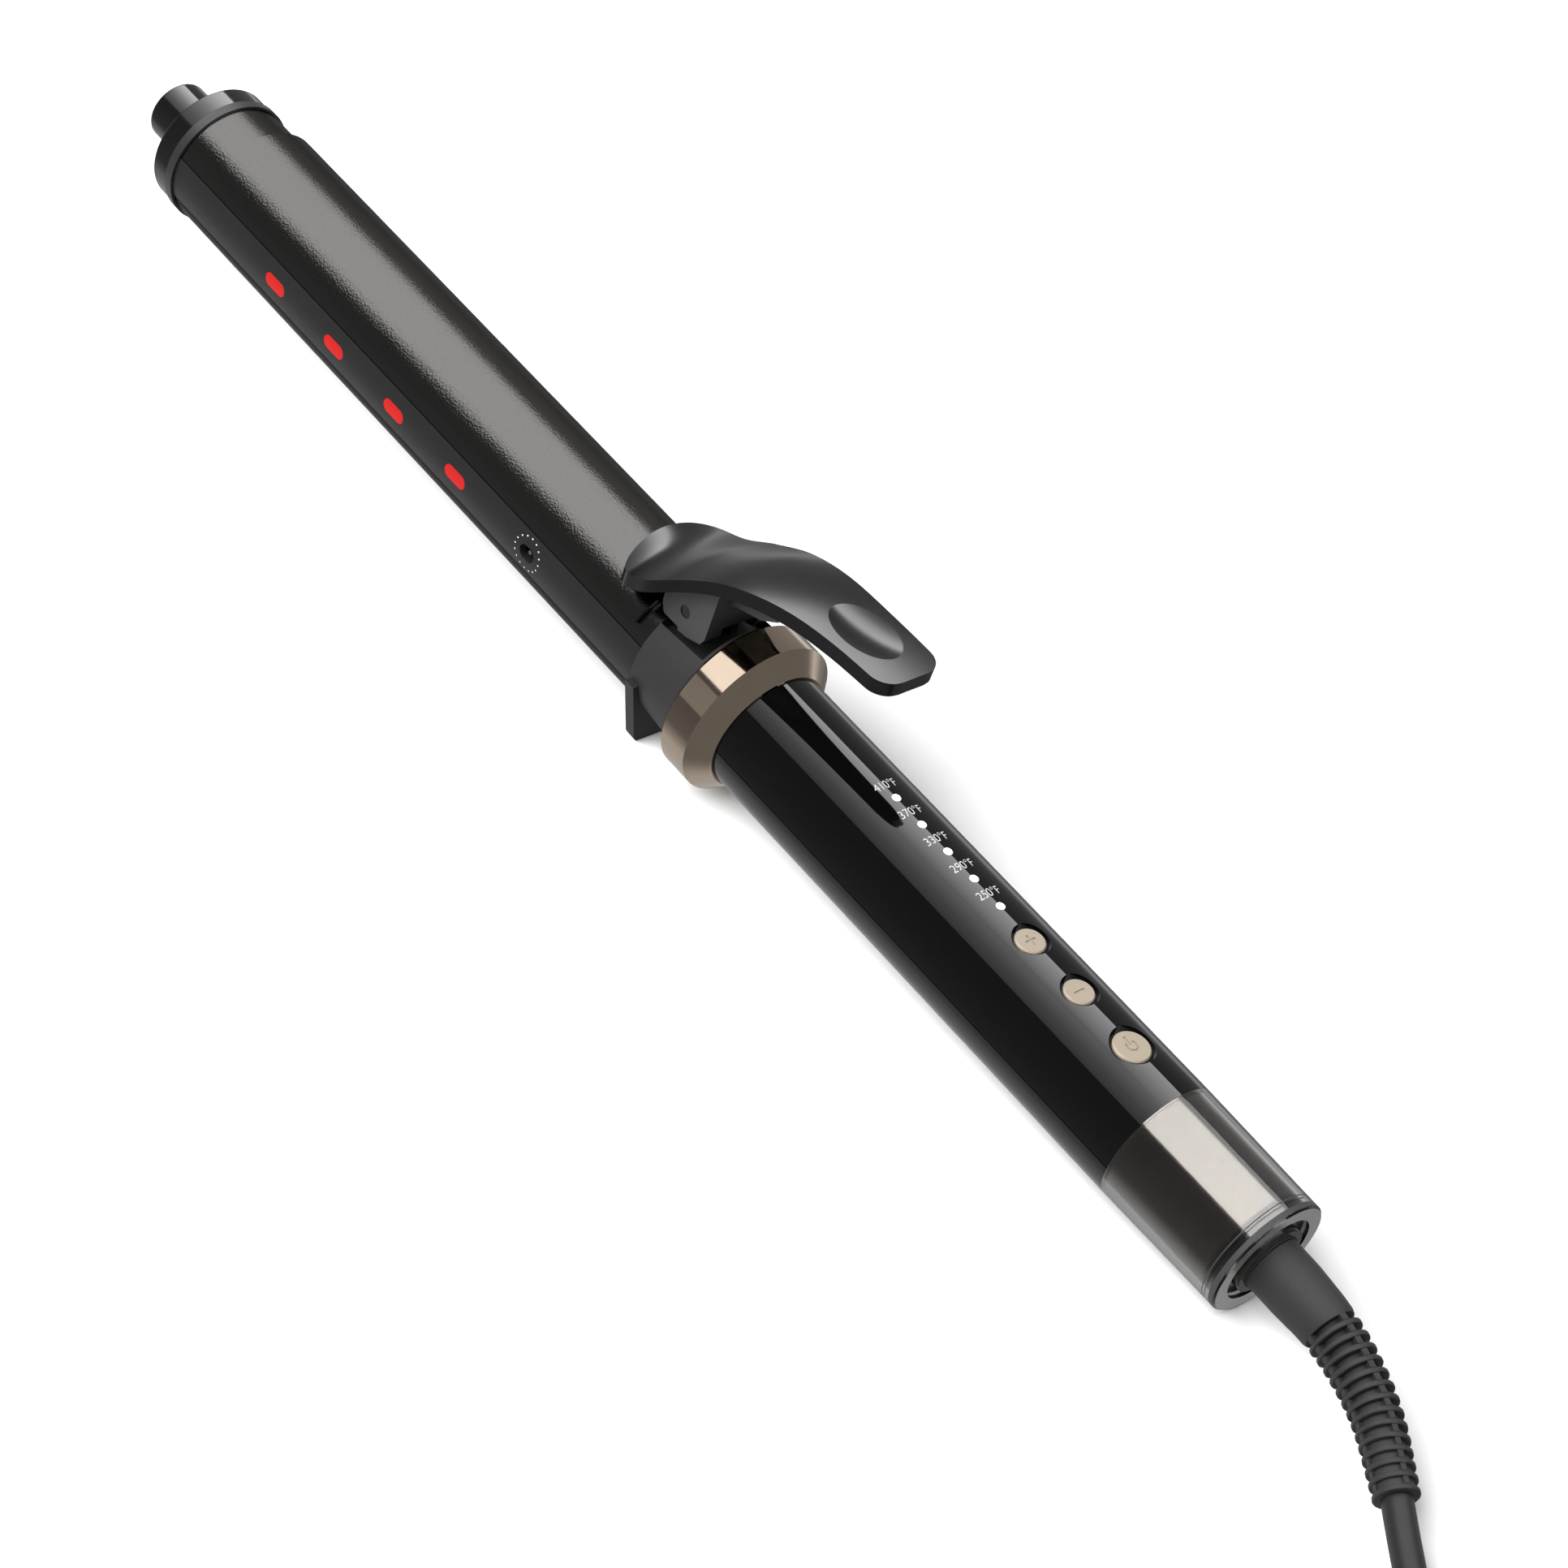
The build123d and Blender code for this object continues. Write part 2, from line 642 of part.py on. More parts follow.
def lever_plan(inset):
    """The lever's outline from above, drawn in by inset."""
    start = X_LEVER_FRONT + inset
    end = X_LEVER_REAR - inset
    wide = LEVER_HALF_WIDTH - inset
    narrow = LEVER_END_HALF_WIDTH - inset
    length = end - start
    with BuildSketch(level(0)) as plan:
        with BuildLine():
            edge = Spline(
                (start + 0.07 * length, wide - 0.2),
                (start + 0.16 * length, wide),
                (start + 0.30 * length, 0.7 * wide + 0.3 * narrow),
                (start + 0.48 * length, 0.42 * wide + 0.58 * narrow),
                (start + 0.72 * length, 0.12 * wide + 0.88 * narrow),
                (end, narrow - 0.2),
            )
            mirror(edge, about=Plane.XZ)
            far = edge @ 0
            near = edge @ 1
            ThreePointArc(far, (start, 0), (far.X, -far.Y))
            Line(near, (near.X, -near.Y))
        make_face()
        fillet(plan.vertices().group_by(Axis.X)[-1], LEVER_END_CORNER_R - inset)
        fillet(plan.vertices().sort_by(Axis.X)[:2], LEVER_FRONT_CORNER_R - inset)
    return plan


def under_lever(clearance):
    """The room under the lever's shell, inside its skirt."""
    lever_body(LEVER_WALL + clearance, 3 * NECK_REAR_R)
    inner_plan = lever_plan(LEVER_WALL + clearance)
    extrude(inner_plan.sketch, amount=4 * NECK_REAR_R, mode=Mode.INTERSECT)


with BuildPart() as lever_hollow:
    under_lever(0)

with BuildPart() as bracket_room:
    under_lever(SEAT)

with BuildPart() as thumb_lever:
    lever_body(0, LEVER_SKIRT)
    outer_plan = lever_plan(0)
    extrude(outer_plan.sketch, amount=4 * NECK_REAR_R, mode=Mode.INTERSECT)
    add(lever_hollow.part, mode=Mode.SUBTRACT, clean=False)
keep(thumb_lever.part, "thumb_lever")

# Lever bracket: a tongue riveted to the clamp, two ears on the pin and a rib to the thumb rest
ear_front = X_PIN - EAR_FRONT
ear_rear = X_PIN + EAR_REAR
tongue_start = ear_front - TONGUE_LENGTH
rivet_stations = [tongue_start + setback for setback in RIVET_SETBACKS]
rib_end = X_RING + RIB_LENGTH
rib_room = RING_R + RIB_ROOM
with BuildPart() as lever_bracket:
    cut_side(
        [
            (ear_front, Z_PIN - 2.4),
            (ear_front + 1.2, Z_PIN - 4.8),
            (ear_front + 4.3, Z_PIN - 6.0),
            (ear_rear - 5.2, Z_PIN - 5.4),
            (ear_rear - 0.9, Z_PIN - 3.9),
            (ear_rear, Z_PIN - 1.9),
            (ear_rear, 3 * RING_R),
            (ear_front, 3 * RING_R),
        ],
        EAR_HALF_WIDTH,
    )
    cut_side(
        [
            (ear_rear - 1.0, Z_PIN + 5.5),
            (ear_rear + 1.2, Z_PIN + 7.4),
            (X_RING + 4.5, rib_room),
            (rib_end - 3.0, rib_room + 3.2),
            (rib_end, 3 * RING_R),
            (ear_rear - 1.0, 3 * RING_R),
        ],
        EAR_SLOT_HALF,
    )
    block((ear_front - 1.0, ear_rear + 1.0), (-EAR_SLOT_HALF, EAR_SLOT_HALF), (0, Z_PIN), mode=Mode.SUBTRACT)
    pin_across(X_PIN, Z_PIN, (-EAR_SLOT_HALF, EAR_SLOT_HALF), LUG_R + LUG_AIR, mode=Mode.SUBTRACT)
    pin_across(X_PIN, Z_PIN, (-EAR_HALF_WIDTH - 1, EAR_HALF_WIDTH + 1), PIN_R + RUNNING, mode=Mode.SUBTRACT)
    block((tongue_start, ear_front + 0.5), (-TONGUE_HALF_WIDTH, TONGUE_HALF_WIDTH), (0, CLAMP_R + TONGUE_TOP))
    rod(tongue_start - 1.0, ear_front, CLAMP_R, mode=Mode.SUBTRACT)
    rod(ear_front, X_PIN - 0.5, BARREL_R + EAR_AIR, mode=Mode.SUBTRACT)
    for x in rivet_stations:
        post(x, 0, (0, CLAMP_R + TONGUE_TOP), RIVET_R, mode=Mode.SUBTRACT)
    add(bracket_room.part, mode=Mode.INTERSECT)
keep(lever_bracket.part, "lever_bracket")

clamp_end = ear_front - 1.5
with BuildPart() as clamp_plate:
    band(X_BARREL + CLAMP_FRONT, clamp_end, CLAMP_BORE_R, CLAMP_R, 90.0, CLAMP_HALF_ANGLE)
    fillet(
        clamp_plate.edges().filter_by(lambda e: abs(e.length - CLAMP_THICKNESS) < 0.01).sort_by(IRON_AXIS)[:2],
        CLAMP_CORNER_R,
    )
    for x in rivet_stations:
        post(x, 0, (0, 2 * CLAMP_R), RIVET_R, mode=Mode.SUBTRACT)
keep(clamp_plate.part, "clamp_plate")

with BuildPart() as clamp_rivets:
    for x in rivet_stations:
        post(x, 0, (CLAMP_BORE_R, CLAMP_R + TONGUE_TOP), RIVET_R - SCREW_PLAY)
        post(x, 0, (CLAMP_R + TONGUE_TOP, CLAMP_R + TONGUE_TOP + RIVET_HEAD), RIVET_HEAD_R)
    rod(X_BARREL, X_RING, CLAMP_BORE_R, mode=Mode.SUBTRACT)
keep(clamp_rivets.part, "clamp_rivets")

# Grip: two shells that meet on the level of the axis
dot_stations = [X_SLEEVE - DOT_FIRST + n * DOT_PITCH for n in range(DOT_COUNT)]
buttons = {
    "plus_button": (X_SLEEVE - PLUS_BACK, STEP_BUTTON_R),
    "minus_button": (X_SLEEVE - MINUS_BACK, STEP_BUTTON_R),
    "power_button": (X_SLEEVE - POWER_BACK, POWER_BUTTON_R),
}
button_top = HANDLE_R - BUTTON_SINK
well_floor = HANDLE_R - WELL_DEPTH
board_low = BOARD_TOP - BOARD_THICKNESS
board_start = dot_stations[0] - BOARD_LEAD
board_end = X_SLEEVE - BOARD_SETBACK
board_screw_x = (board_start + 3.0, (buttons["minus_button"][0] + buttons["power_button"][0]) / 2)
board_screw_y = (-BOARD_SCREW_OFFSET, BOARD_SCREW_OFFSET)
grip_screw_x = X_GRIP + GRIP_SCREW_SETBACK
grip_screw_y = (-GRIP_SCREW_OFFSET, GRIP_SCREW_OFFSET)


def grip_shell(side):
    """One half of the grip tube, above (1) or below (-1) the axis."""
    tube(X_RING, X_SLEEVE, HANDLE_BORE_R, HANDLE_R)
    far = 2 * HANDLE_R * side
    low, high = sorted((far, SHELL_GAP / 2 * side))
    block((X_RING - 1, X_SLEEVE + 1), (-2 * HANDLE_R, 2 * HANDLE_R), (low, high), mode=Mode.INTERSECT)


with BuildPart() as handle_shell_upper:
    grip_shell(1)
    for y in board_screw_y:
        for x in board_screw_x:
            post(x, y, (BOARD_TOP, HANDLE_BORE_R - BOARD_SCREW_R), BOARD_SCREW_R + BOSS_WALL)
            post(x, y, (BOARD_TOP, HANDLE_BORE_R - 1.5), BOARD_SCREW_R + SCREW_PLAY, mode=Mode.SUBTRACT)
    for y in grip_screw_y:
        post(grip_screw_x, y, (SHELL_GAP / 2, HANDLE_BORE_R - 1.0), GRIP_SCREW_R + BOSS_WALL)
        post(grip_screw_x, y, (0, HANDLE_BORE_R - 4.0), GRIP_SCREW_R + SCREW_PLAY, mode=Mode.SUBTRACT)
    rod(X_RING, X_SLEEVE, HANDLE_R, mode=Mode.INTERSECT)
    for x in dot_stations:
        post(x, 0, (0, 2 * HANDLE_R), DOT_R + SEAT, mode=Mode.SUBTRACT)
    for x, radius in buttons.values():
        post(x, 0, (well_floor, 2 * HANDLE_R), radius + WELL_MARGIN, mode=Mode.SUBTRACT)
        post(x, 0, (0, 2 * HANDLE_R), radius + BUTTON_PLAY, mode=Mode.SUBTRACT)
keep(handle_shell_upper.part, "handle_shell_upper")

screw_seat = GRIP_SCREW_HEAD_R - HANDLE_BORE_R
with BuildPart() as handle_shell_lower:
    grip_shell(-1)
    for y in grip_screw_y:
        post(grip_screw_x, y, (-HANDLE_R + 0.6, -SHELL_GAP / 2), GRIP_SCREW_R + BOSS_WALL + 0.6)
    rod(X_RING, X_SLEEVE, HANDLE_R, mode=Mode.INTERSECT)
    for y in grip_screw_y:
        post(grip_screw_x, y, (-2 * HANDLE_R, 0), GRIP_SCREW_R + SCREW_PLAY, mode=Mode.SUBTRACT)
        post(grip_screw_x, y, (-2 * HANDLE_R, screw_seat), GRIP_SCREW_HEAD_R + SEAT, mode=Mode.SUBTRACT)
keep(handle_shell_lower.part, "handle_shell_lower")

with BuildPart() as handle_screws:
    for y in grip_screw_y:
        post(grip_screw_x, y, (screw_seat, HANDLE_BORE_R - 5.0), GRIP_SCREW_R)
        post(grip_screw_x, y, (screw_seat - GRIP_SCREW_HEAD, screw_seat), GRIP_SCREW_HEAD_R)
keep(handle_screws.part, "handle_screws")

# Controls
with BuildPart() as indicator_lenses:
    for x in dot_stations:
        post(x, 0, (BOARD_TOP + 1.0, 2 * HANDLE_R), DOT_R)
    rod(X_RING, X_SLEEVE, HANDLE_R + LENS_PROUD, mode=Mode.INTERSECT)
keep(indicator_lenses.part, "indicator_lenses")

with BuildPart() as indicator_leds:
    for x in dot_stations:
        block((x - 0.8, x + 0.8), (-0.6, 0.6), (BOARD_TOP, BOARD_TOP + 0.7))
keep(indicator_leds.part, "indicator_leds")

flange_top = sqrt(HANDLE_BORE_R**2 - (POWER_BUTTON_R + BUTTON_FLANGE) ** 2) - BUTTON_PLAY
flange_low = flange_top - BUTTON_FLANGE


def icon(button, x):
    """The mark on a button's face, read with its top towards the tip."""
    with BuildSketch(level(button_top)) as mark:
        with Locations((x, 0)):
            if button == "power_button":
                Circle(POWER_ICON_R)
                Circle(POWER_ICON_R - ICON_STROKE, mode=Mode.SUBTRACT)
                with Locations((-POWER_ICON_R, 0)):
                    Rectangle(2 * POWER_ICON_R, 3 * ICON_STROKE, mode=Mode.SUBTRACT)
                    Rectangle(2 * POWER_ICON_R - ICON_STROKE, ICON_STROKE)
            else:
                Rectangle(ICON_STROKE, ICON_SIZE)
            if button == "plus_button":
                Rectangle(ICON_SIZE, ICON_STROKE)
    return mark.sketch


for button, (x, radius) in buttons.items():
    with BuildPart() as cap:
        post(x, 0, (flange_low, button_top), radius)
        chamfer(cap.edges().group_by(IRON.location.z_axis)[-1], BUTTON_EDGE)
        post(x, 0, (flange_low, flange_top), radius + BUTTON_FLANGE)
        extrude(icon(button, x), amount=-ICON_DEPTH, mode=Mode.SUBTRACT)
    keep(cap.part, button)

with BuildPart() as control_board:
    block((board_start, board_end), (-BOARD_HALF_WIDTH, BOARD_HALF_WIDTH), (board_low, BOARD_TOP))
    for y in board_screw_y:
        for x in board_screw_x:
            post(x, y, (board_low, BOARD_TOP), BOARD_SCREW_R + 0.1, mode=Mode.SUBTRACT)
keep(control_board.part, "control_board")

with BuildPart() as board_screws:
    for y in board_screw_y:
        for x in board_screw_x:
            post(x, y, (board_low, HANDLE_BORE_R - 2.5), BOARD_SCREW_R)
            post(x, y, (board_low - BOARD_SCREW_R, board_low), BOARD_SCREW_HEAD_R)
keep(board_screws.part, "board_screws")

switch_top = flange_low - BUTTON_TRAVEL - BUTTON_PLAY
switch_body = (-SWITCH_HALF, SWITCH_HALF)
with BuildPart() as button_switches:
    for x, radius in buttons.values():
        block((x - SWITCH_HALF, x + SWITCH_HALF), switch_body, (BOARD_TOP, switch_top - SWITCH_STEM))
        post(x, 0, (switch_top - SWITCH_STEM, switch_top), SWITCH_STEM_R)
keep(button_switches.part, "button_switches")

with BuildPart() as ion_generator:
    block(
        (dot_stations[-1], dot_stations[-1] + ION_MODULE[0]),
        (-ION_MODULE[1] / 2, ION_MODULE[1] / 2),
        (board_low - ION_MODULE[2], board_low - SEAT),
    )
keep(ion_generator.part, "ion_generator")

with BuildPart() as smoothing_capacitor:
    with BuildSketch(station(dot_stations[1])) as can:
        with Locations((0, board_low - SEAT - CAPACITOR_R)):
            Circle(CAPACITOR_R)
    extrude(can.sketch, amount=CAPACITOR_LENGTH)
keep(smoothing_capacitor.part, "smoothing_capacitor")

with BuildPart() as terminal_block:
    block(
        (board_end - TERMINAL[0] - 1.0, board_end - 1.0),
        (-TERMINAL[1] / 2, TERMINAL[1] / 2),
        (board_low - TERMINAL[2], board_low - SEAT),
    )
keep(terminal_block.part, "terminal_block")

wire_start = heater_start + HEATER_LENGTH - 1.5 * HEATER_INSET
wire_end = board_start + 0.6 * BOARD_LEAD
with BuildPart() as heater_wires:
    for y in (-WIRE_OFFSET, WIRE_OFFSET):
        with BuildSketch(station(wire_start)) as wire:
            with Locations((y, board_low - SEAT - WIRE_R)):
                Circle(WIRE_R)
        extrude(wire.sketch, amount=wire_end - wire_start)
keep(heater_wires.part, "heater_wires")

# Sleeve end: a bronze sleeve inside a clear one, and the swivel
coupler_bore_r = BRONZE_BORE_R - COUPLER_WALL
with BuildPart() as end_coupler:
    tube(X_SLEEVE - COUPLER_HALF, X_SLEEVE, coupler_bore_r, HANDLE_BORE_R - SEAT)
    tube(X_SLEEVE, X_SLEEVE + COUPLER_HALF, coupler_bore_r, BRONZE_BORE_R - SEAT)
keep(end_coupler.part, "end_coupler")

cap_rear = X_END - END_FLOOR
cap_front = cap_rear - END_CAP_THICKNESS
with BuildPart() as end_sleeve:
    tube(X_SLEEVE + SEAT, cap_front, BRONZE_BORE_R, BRONZE_R)
keep(end_sleeve.part, "end_sleeve")

with BuildPart() as clear_sleeve:
    turned(
        (X_SLEEVE + SEAT, SLEEVE_BORE_R),
        (X_SLEEVE + SEAT, HANDLE_R),
        (X_END - RING_REAR_BEVEL, SLEEVE_END_R),
        (X_END, SLEEVE_END_R - RING_REAR_BEVEL),
        (X_END, SLEEVE_END_R - END_RIM),
        (cap_rear, SLEEVE_END_R - END_RIM),
        (cap_rear, SLEEVE_BORE_R),
    )
keep(clear_sleeve.part, "clear_sleeve")

bush_rear = X_END + BUSH_PROUD
bush_front = bush_rear - BUSH_LENGTH
with BuildPart() as end_cap:
    tube(cap_front + SEAT, cap_rear - SEAT, BUSH_R + SEAT, BRONZE_R)
keep(end_cap.part, "end_cap")

with BuildPart() as swivel_bush:
    tube(bush_front, bush_rear, BUSH_BORE_R, BUSH_R)
    tube(cap_front - BUSH_FLANGE, cap_front, BUSH_R - SEAT, BUSH_R + BUSH_FLANGE)
keep(swivel_bush.part, "swivel_bush")

contact_start = X_SLEEVE + COUPLER_HALF + SEAT
with BuildPart() as contact_plate:
    rod(contact_start, contact_start + CONTACT_THICKNESS, BRONZE_BORE_R - SEAT)
keep(contact_plate.part, "contact_plate")

# Strain relief: a boot that turns in the bush, then stacked ribs along a bend
relief_start = bush_rear + CLAMP_GAP
relief_tip = Vector(*CORD_LEAD[0])
relief_points = [
    point(relief_start, 0, 0),
    point(X_END + 20.0, 0, -0.5),
    point(X_END + 37.0, -4.6, -2.2),
    relief_tip,
]


def corner_radii(points, share=0.45):
    """The largest arc that each corner's two runs allow."""
    radii = []
    for before, corner, after in zip(points, points[1:], points[2:]):
        turn = (corner - before).get_angle(after - corner)
        shorter = min((corner - before).length, (after - corner).length)
        radii.append(share * shorter / tan(radians(turn) / 2))
    return radii


with BuildLine() as relief_line:
    FilletPolyline(*relief_points, radius=corner_radii(relief_points))
relief_path = relief_line.wire()


def across(path, share):
    """Plane square to a path at a share of its length."""
    return Plane(origin=path @ share, z_dir=path % share)


keeper_start = bush_front - CLAMP_GAP - RELIEF_KEEPER
with BuildPart() as strain_relief:
    rod(keeper_start, relief_start, BUSH_BORE_R - RUNNING)
    rod(keeper_start, keeper_start + RELIEF_KEEPER, BUSH_R)
    boot = []
    for share, radius in (
        (0, RELIEF_BASE_R),
        (0.4 * BOOT_SHARE, RELIEF_BASE_R),
        (0.8 * BOOT_SHARE, 0.7 * RELIEF_WAIST_R + 0.3 * RELIEF_BASE_R),
        (BOOT_SHARE, RELIEF_WAIST_R),
    ):
        with BuildSketch(across(relief_path, share)) as ring:
            Circle(radius)
        boot.append(ring.sketch)
    loft(boot)
    with BuildSketch(across(relief_path, 0)) as core:
        Circle(CORD_R + RELIEF_CORE_WALL)
    sweep(core.sketch, path=relief_path)
    for rib in range(RIB_COUNT):
        share = BOOT_SHARE + (1 - BOOT_SHARE) * (rib + 0.75) / (RIB_COUNT + 0.1)
        radius = RELIEF_WAIST_R + (RELIEF_END_R - RELIEF_WAIST_R) * (rib + 0.5) / RIB_COUNT
        with BuildSketch(across(relief_path, share)) as ring:
            Circle(radius)
        extrude(ring.sketch, amount=RIB_WIDTH / 2, both=True)
keep(strain_relief.part, "strain_relief")

# Cord, hank, tie and plug
for name, route in (("cord_lead", CORD_LEAD), ("cord_tail", CORD_TAIL)):
    points = [Vector(*p) for p in route]
    radii = corner_radii(points)
    with BuildLine() as cord_line:
        FilletPolyline(*points, radius=radii)
    path = cord_line.wire()
    with BuildPart() as cord:
        with BuildSketch(across(path, 0)) as section:
            Circle(CORD_R)
        sweep(section.sketch, path=path)
    keep(cord.part, name)
    share = cord.part.volume / (pi * CORD_R**2 * path.length)
    print(name, "radii", [round(r, 1) for r in radii], "length", round(path.length, 1), "volume", round(share, 4))

hank_width = 2 * CORD_R * HANK_COLUMNS
hank_height = 2 * CORD_R * HANK_LAYERS
hank_bore_r = HANK_INNER_R - CORD_R
hank_middle = HANK_NEAR[0] + HANK_RUN / 2
with BuildPart() as cord_hank:
    with BuildSketch() as winding:
        with Locations((hank_middle, HANK_NEAR[1])):
            SlotCenterToCenter(HANK_RUN, 2 * (hank_bore_r + hank_width))
            SlotCenterToCenter(HANK_RUN, 2 * hank_bore_r, mode=Mode.SUBTRACT)
    extrude(winding.sketch, amount=hank_height)
    fillet(cord_hank.edges().group_by(Axis.Z)[0] + cord_hank.edges().group_by(Axis.Z)[-1], 0.9 * CORD_R)
keep(cord_hank.part, "cord_hank")

tie_middle = HANK_NEAR[1] + hank_bore_r + hank_width / 2
tie_plane = Plane.YZ.offset(HANK_NEAR[0] + TIE_SETBACK)
with BuildPart() as cord_tie:
    with BuildSketch(tie_plane) as strap:
        with Locations((tie_middle, (hank_height + TIE_WALL) / 2)):
            Rectangle(hank_width + 2 * TIE_WALL, hank_height + TIE_WALL)
        with Locations((tie_middle, hank_height / 2)):
            Rectangle(hank_width + 2 * SEAT, hank_height + 2 * SEAT, mode=Mode.SUBTRACT)
    extrude(strap.sketch, amount=TIE_WIDTH)
keep(cord_tie.part, "cord_tie")

plug_start = Vector(*CORD_TAIL[-1])
plug_heading = (plug_start - Vector(*CORD_TAIL[-2])).normalized()
plug_plane = Plane(
    origin=plug_start,
    x_dir=(plug_heading.Y, -plug_heading.X, 0),
    z_dir=(plug_heading.X, plug_heading.Y, 0),
)
with BuildPart() as plug_body:
    with BuildSketch(plug_plane) as rear:
        RectangleRounded(2.6 * CORD_R, 2.4 * CORD_R, CORD_R)
    with BuildSketch(plug_plane.offset(0.45 * PLUG_LENGTH)) as middle:
        RectangleRounded(PLUG_WIDTH, PLUG_THICKNESS, PLUG_CORNER_R)
    with BuildSketch(plug_plane.offset(PLUG_LENGTH)) as face:
        RectangleRounded(PLUG_WIDTH, PLUG_THICKNESS, PLUG_CORNER_R)
    loft([rear.sketch, middle.sketch])
    loft([middle.sketch, face.sketch])
keep(plug_body.part, "plug_body")

with BuildPart() as plug_blades:
    with BuildSketch(plug_plane.offset(PLUG_LENGTH)) as blades:
        with Locations((-BLADE_GAP / 2, 0), (BLADE_GAP / 2, 0)):
            Rectangle(*BLADE_SECTION)
    extrude(blades.sketch, amount=BLADE_LENGTH)
keep(plug_blades.part, "plug_blades")
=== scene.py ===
"""Looks of the curling iron: finishes, fine detail, cord, studio light and camera.

Sizes are in millimetres and become metres where an object is made.  iron(x, y, z) gives the
place of a point along, across and above the iron's axis, as the CAD model measures them.
"""

import json
from math import cos, pi, radians, sin

import bmesh
import bpy
from mathutils import Matrix, Vector


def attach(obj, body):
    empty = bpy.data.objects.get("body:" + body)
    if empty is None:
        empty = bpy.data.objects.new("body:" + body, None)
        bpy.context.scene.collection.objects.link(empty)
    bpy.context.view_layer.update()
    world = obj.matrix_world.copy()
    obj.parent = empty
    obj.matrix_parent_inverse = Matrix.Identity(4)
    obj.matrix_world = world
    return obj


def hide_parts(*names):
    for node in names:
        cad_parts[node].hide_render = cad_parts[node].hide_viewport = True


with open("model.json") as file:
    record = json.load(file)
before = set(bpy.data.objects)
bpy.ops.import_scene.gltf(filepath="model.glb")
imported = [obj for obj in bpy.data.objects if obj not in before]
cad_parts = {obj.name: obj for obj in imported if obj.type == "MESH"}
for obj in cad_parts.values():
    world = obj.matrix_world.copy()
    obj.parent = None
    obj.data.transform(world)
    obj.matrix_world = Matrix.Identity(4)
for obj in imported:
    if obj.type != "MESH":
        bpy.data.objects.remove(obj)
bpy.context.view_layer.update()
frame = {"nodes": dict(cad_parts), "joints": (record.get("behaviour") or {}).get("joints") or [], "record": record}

MM = 0.001

# The iron's own measures, as in the CAD model
END = 397.6
SLEEVE = 364.0
HANDLE_R = 14.93
BARREL_R = 16.0

# Angles round the iron, in degrees
LEVER_SIDE = 90
STRIP_SIDE = 180

# Meshes: points this close, in metres, are one; edges sharper than this angle stay sharp
WELD = 1e-7
SHARP_ANGLE = 30.0

# Camera: a point on the iron to look at, the distance from it, and the view's angles in degrees
AIM = (244.7, 0.0, -7.7)
DISTANCE = 821.5
AZIMUTH = 37.23
ELEVATION = 40.18
ROLL = 18.83
LENS = 86.4
SENSOR = 36.0
CLIP_START = 0.01

# Smoke-clear sleeve: its radius, rim and bevel at the end, and the depth that holds back
# about two thirds of the light
SLEEVE_END_R = 14.5
END_RIM = 3.6
END_BEVEL = 0.4
SMOKE_COLOUR = (0.02, 0.01, 0.0, 1)
SMOKE_DEPTH = 6.0
# Middle and width of each dark band near the sleeve's end
BANDS = [(396.55, 1.2), (394.1, 0.25)]
BAND_SIDES = 96

# Temperature marks and the ring of dots
LABELS = ["410°F", "370°F", "330°F", "290°F", "250°F"]
DOT_FIRST = 273.2
DOT_PITCH = 8.55
LABEL_BASE = 3.05
LABEL_HEIGHT = 2.25
LABEL_ARC = (-2.8, 3.3)
LABEL_WEIGHT = -0.005
OUTLET = 167.3
ION_DOTS = 16
ION_RING_R = 4.3
ION_DOT_R = 0.22
DOT_SIDES = 12
# How far all printed marks and lines stand off the surface
PRINT = 0.02

# Dark lines where the handle shells part, and along the infrared strip
SEAM_WIDTH = 0.22
SEAMS = [
    # Name, angle round the iron, radius, start, end
    ("shell_seam_near", 180.0, HANDLE_R, 235.5, SLEEVE),
    ("shell_seam_far", 0.0, HANDLE_R, 235.5, SLEEVE),
    ("strip_seam_upper", 160.0, BARREL_R, 23.1, 206.5),
    ("strip_seam_lower", 200.0, BARREL_R, 23.1, 206.5),
]

# Thumb lever
LEVER_START = 190.0
LEVER_END = 266.2
LEVER_WIDE = 16.2
LEVER_NARROW = 8.8
LEVER_FRONT_Z = 22.3
LEVER_REAR_Z = 43.95
LEVER_SKIRT = 3.6
LEVER_WALL = 2.2
LEVER_CORNERS = (3.2, 5.0)
# Radius of the front edge's curve, and the share of the length by which it has died away
LEVER_ARC_R = 26.7
LEVER_ARC_SHARE = 0.5
# The lever's mesh, and how far its rows crowd towards the two ends
LEVER_ROWS = 120
LEVER_COLUMNS = 48
ROW_CROWDING = 0.5
# Share of the length, share of the rise, rise of the crown above the edge
LEVER_CROWN = [
    (-0.06, -0.02, 5.0), (0.09, 0.05, 5.0), (0.24, 0.36, 4.3), (0.40, 0.67, 3.0),
    (0.58, 0.87, 1.9), (0.79, 0.965, 1.1), (1.06, 1.01, 0.7),
]
# Share of the length, half width as a share of the way from narrow to wide
LEVER_EDGE = [
    (0.0, 0.95), (0.07, 0.985), (0.16, 1.0), (0.30, 0.7), (0.48, 0.42), (0.72, 0.12), (1.0, -0.03),
]
CROWN_HALF = 18.2
DIMPLE_X = 250.0
DIMPLE_SIZE = (10.5, 6.8)
DIMPLE_DEPTH = 1.2
# The crown's slope at the dimple is taken between points this far to each side
DIMPLE_REACH = 5.0
# Edges sharper than this angle stay sharp once the dimple is cut
DIMPLE_SHARP = 14.0
# The dimple is cut by the cap of a stretched ball.  As shares of the ball's radius the cap is
# CAP_WIDE wide and starts CAP_BASE above the centre; the radius is CAP_TIMES the cap's depth
CAP_WIDE = 0.6
CAP_BASE = 0.8
CAP_TIMES = 5
BALL_STEPS = (160, 96)

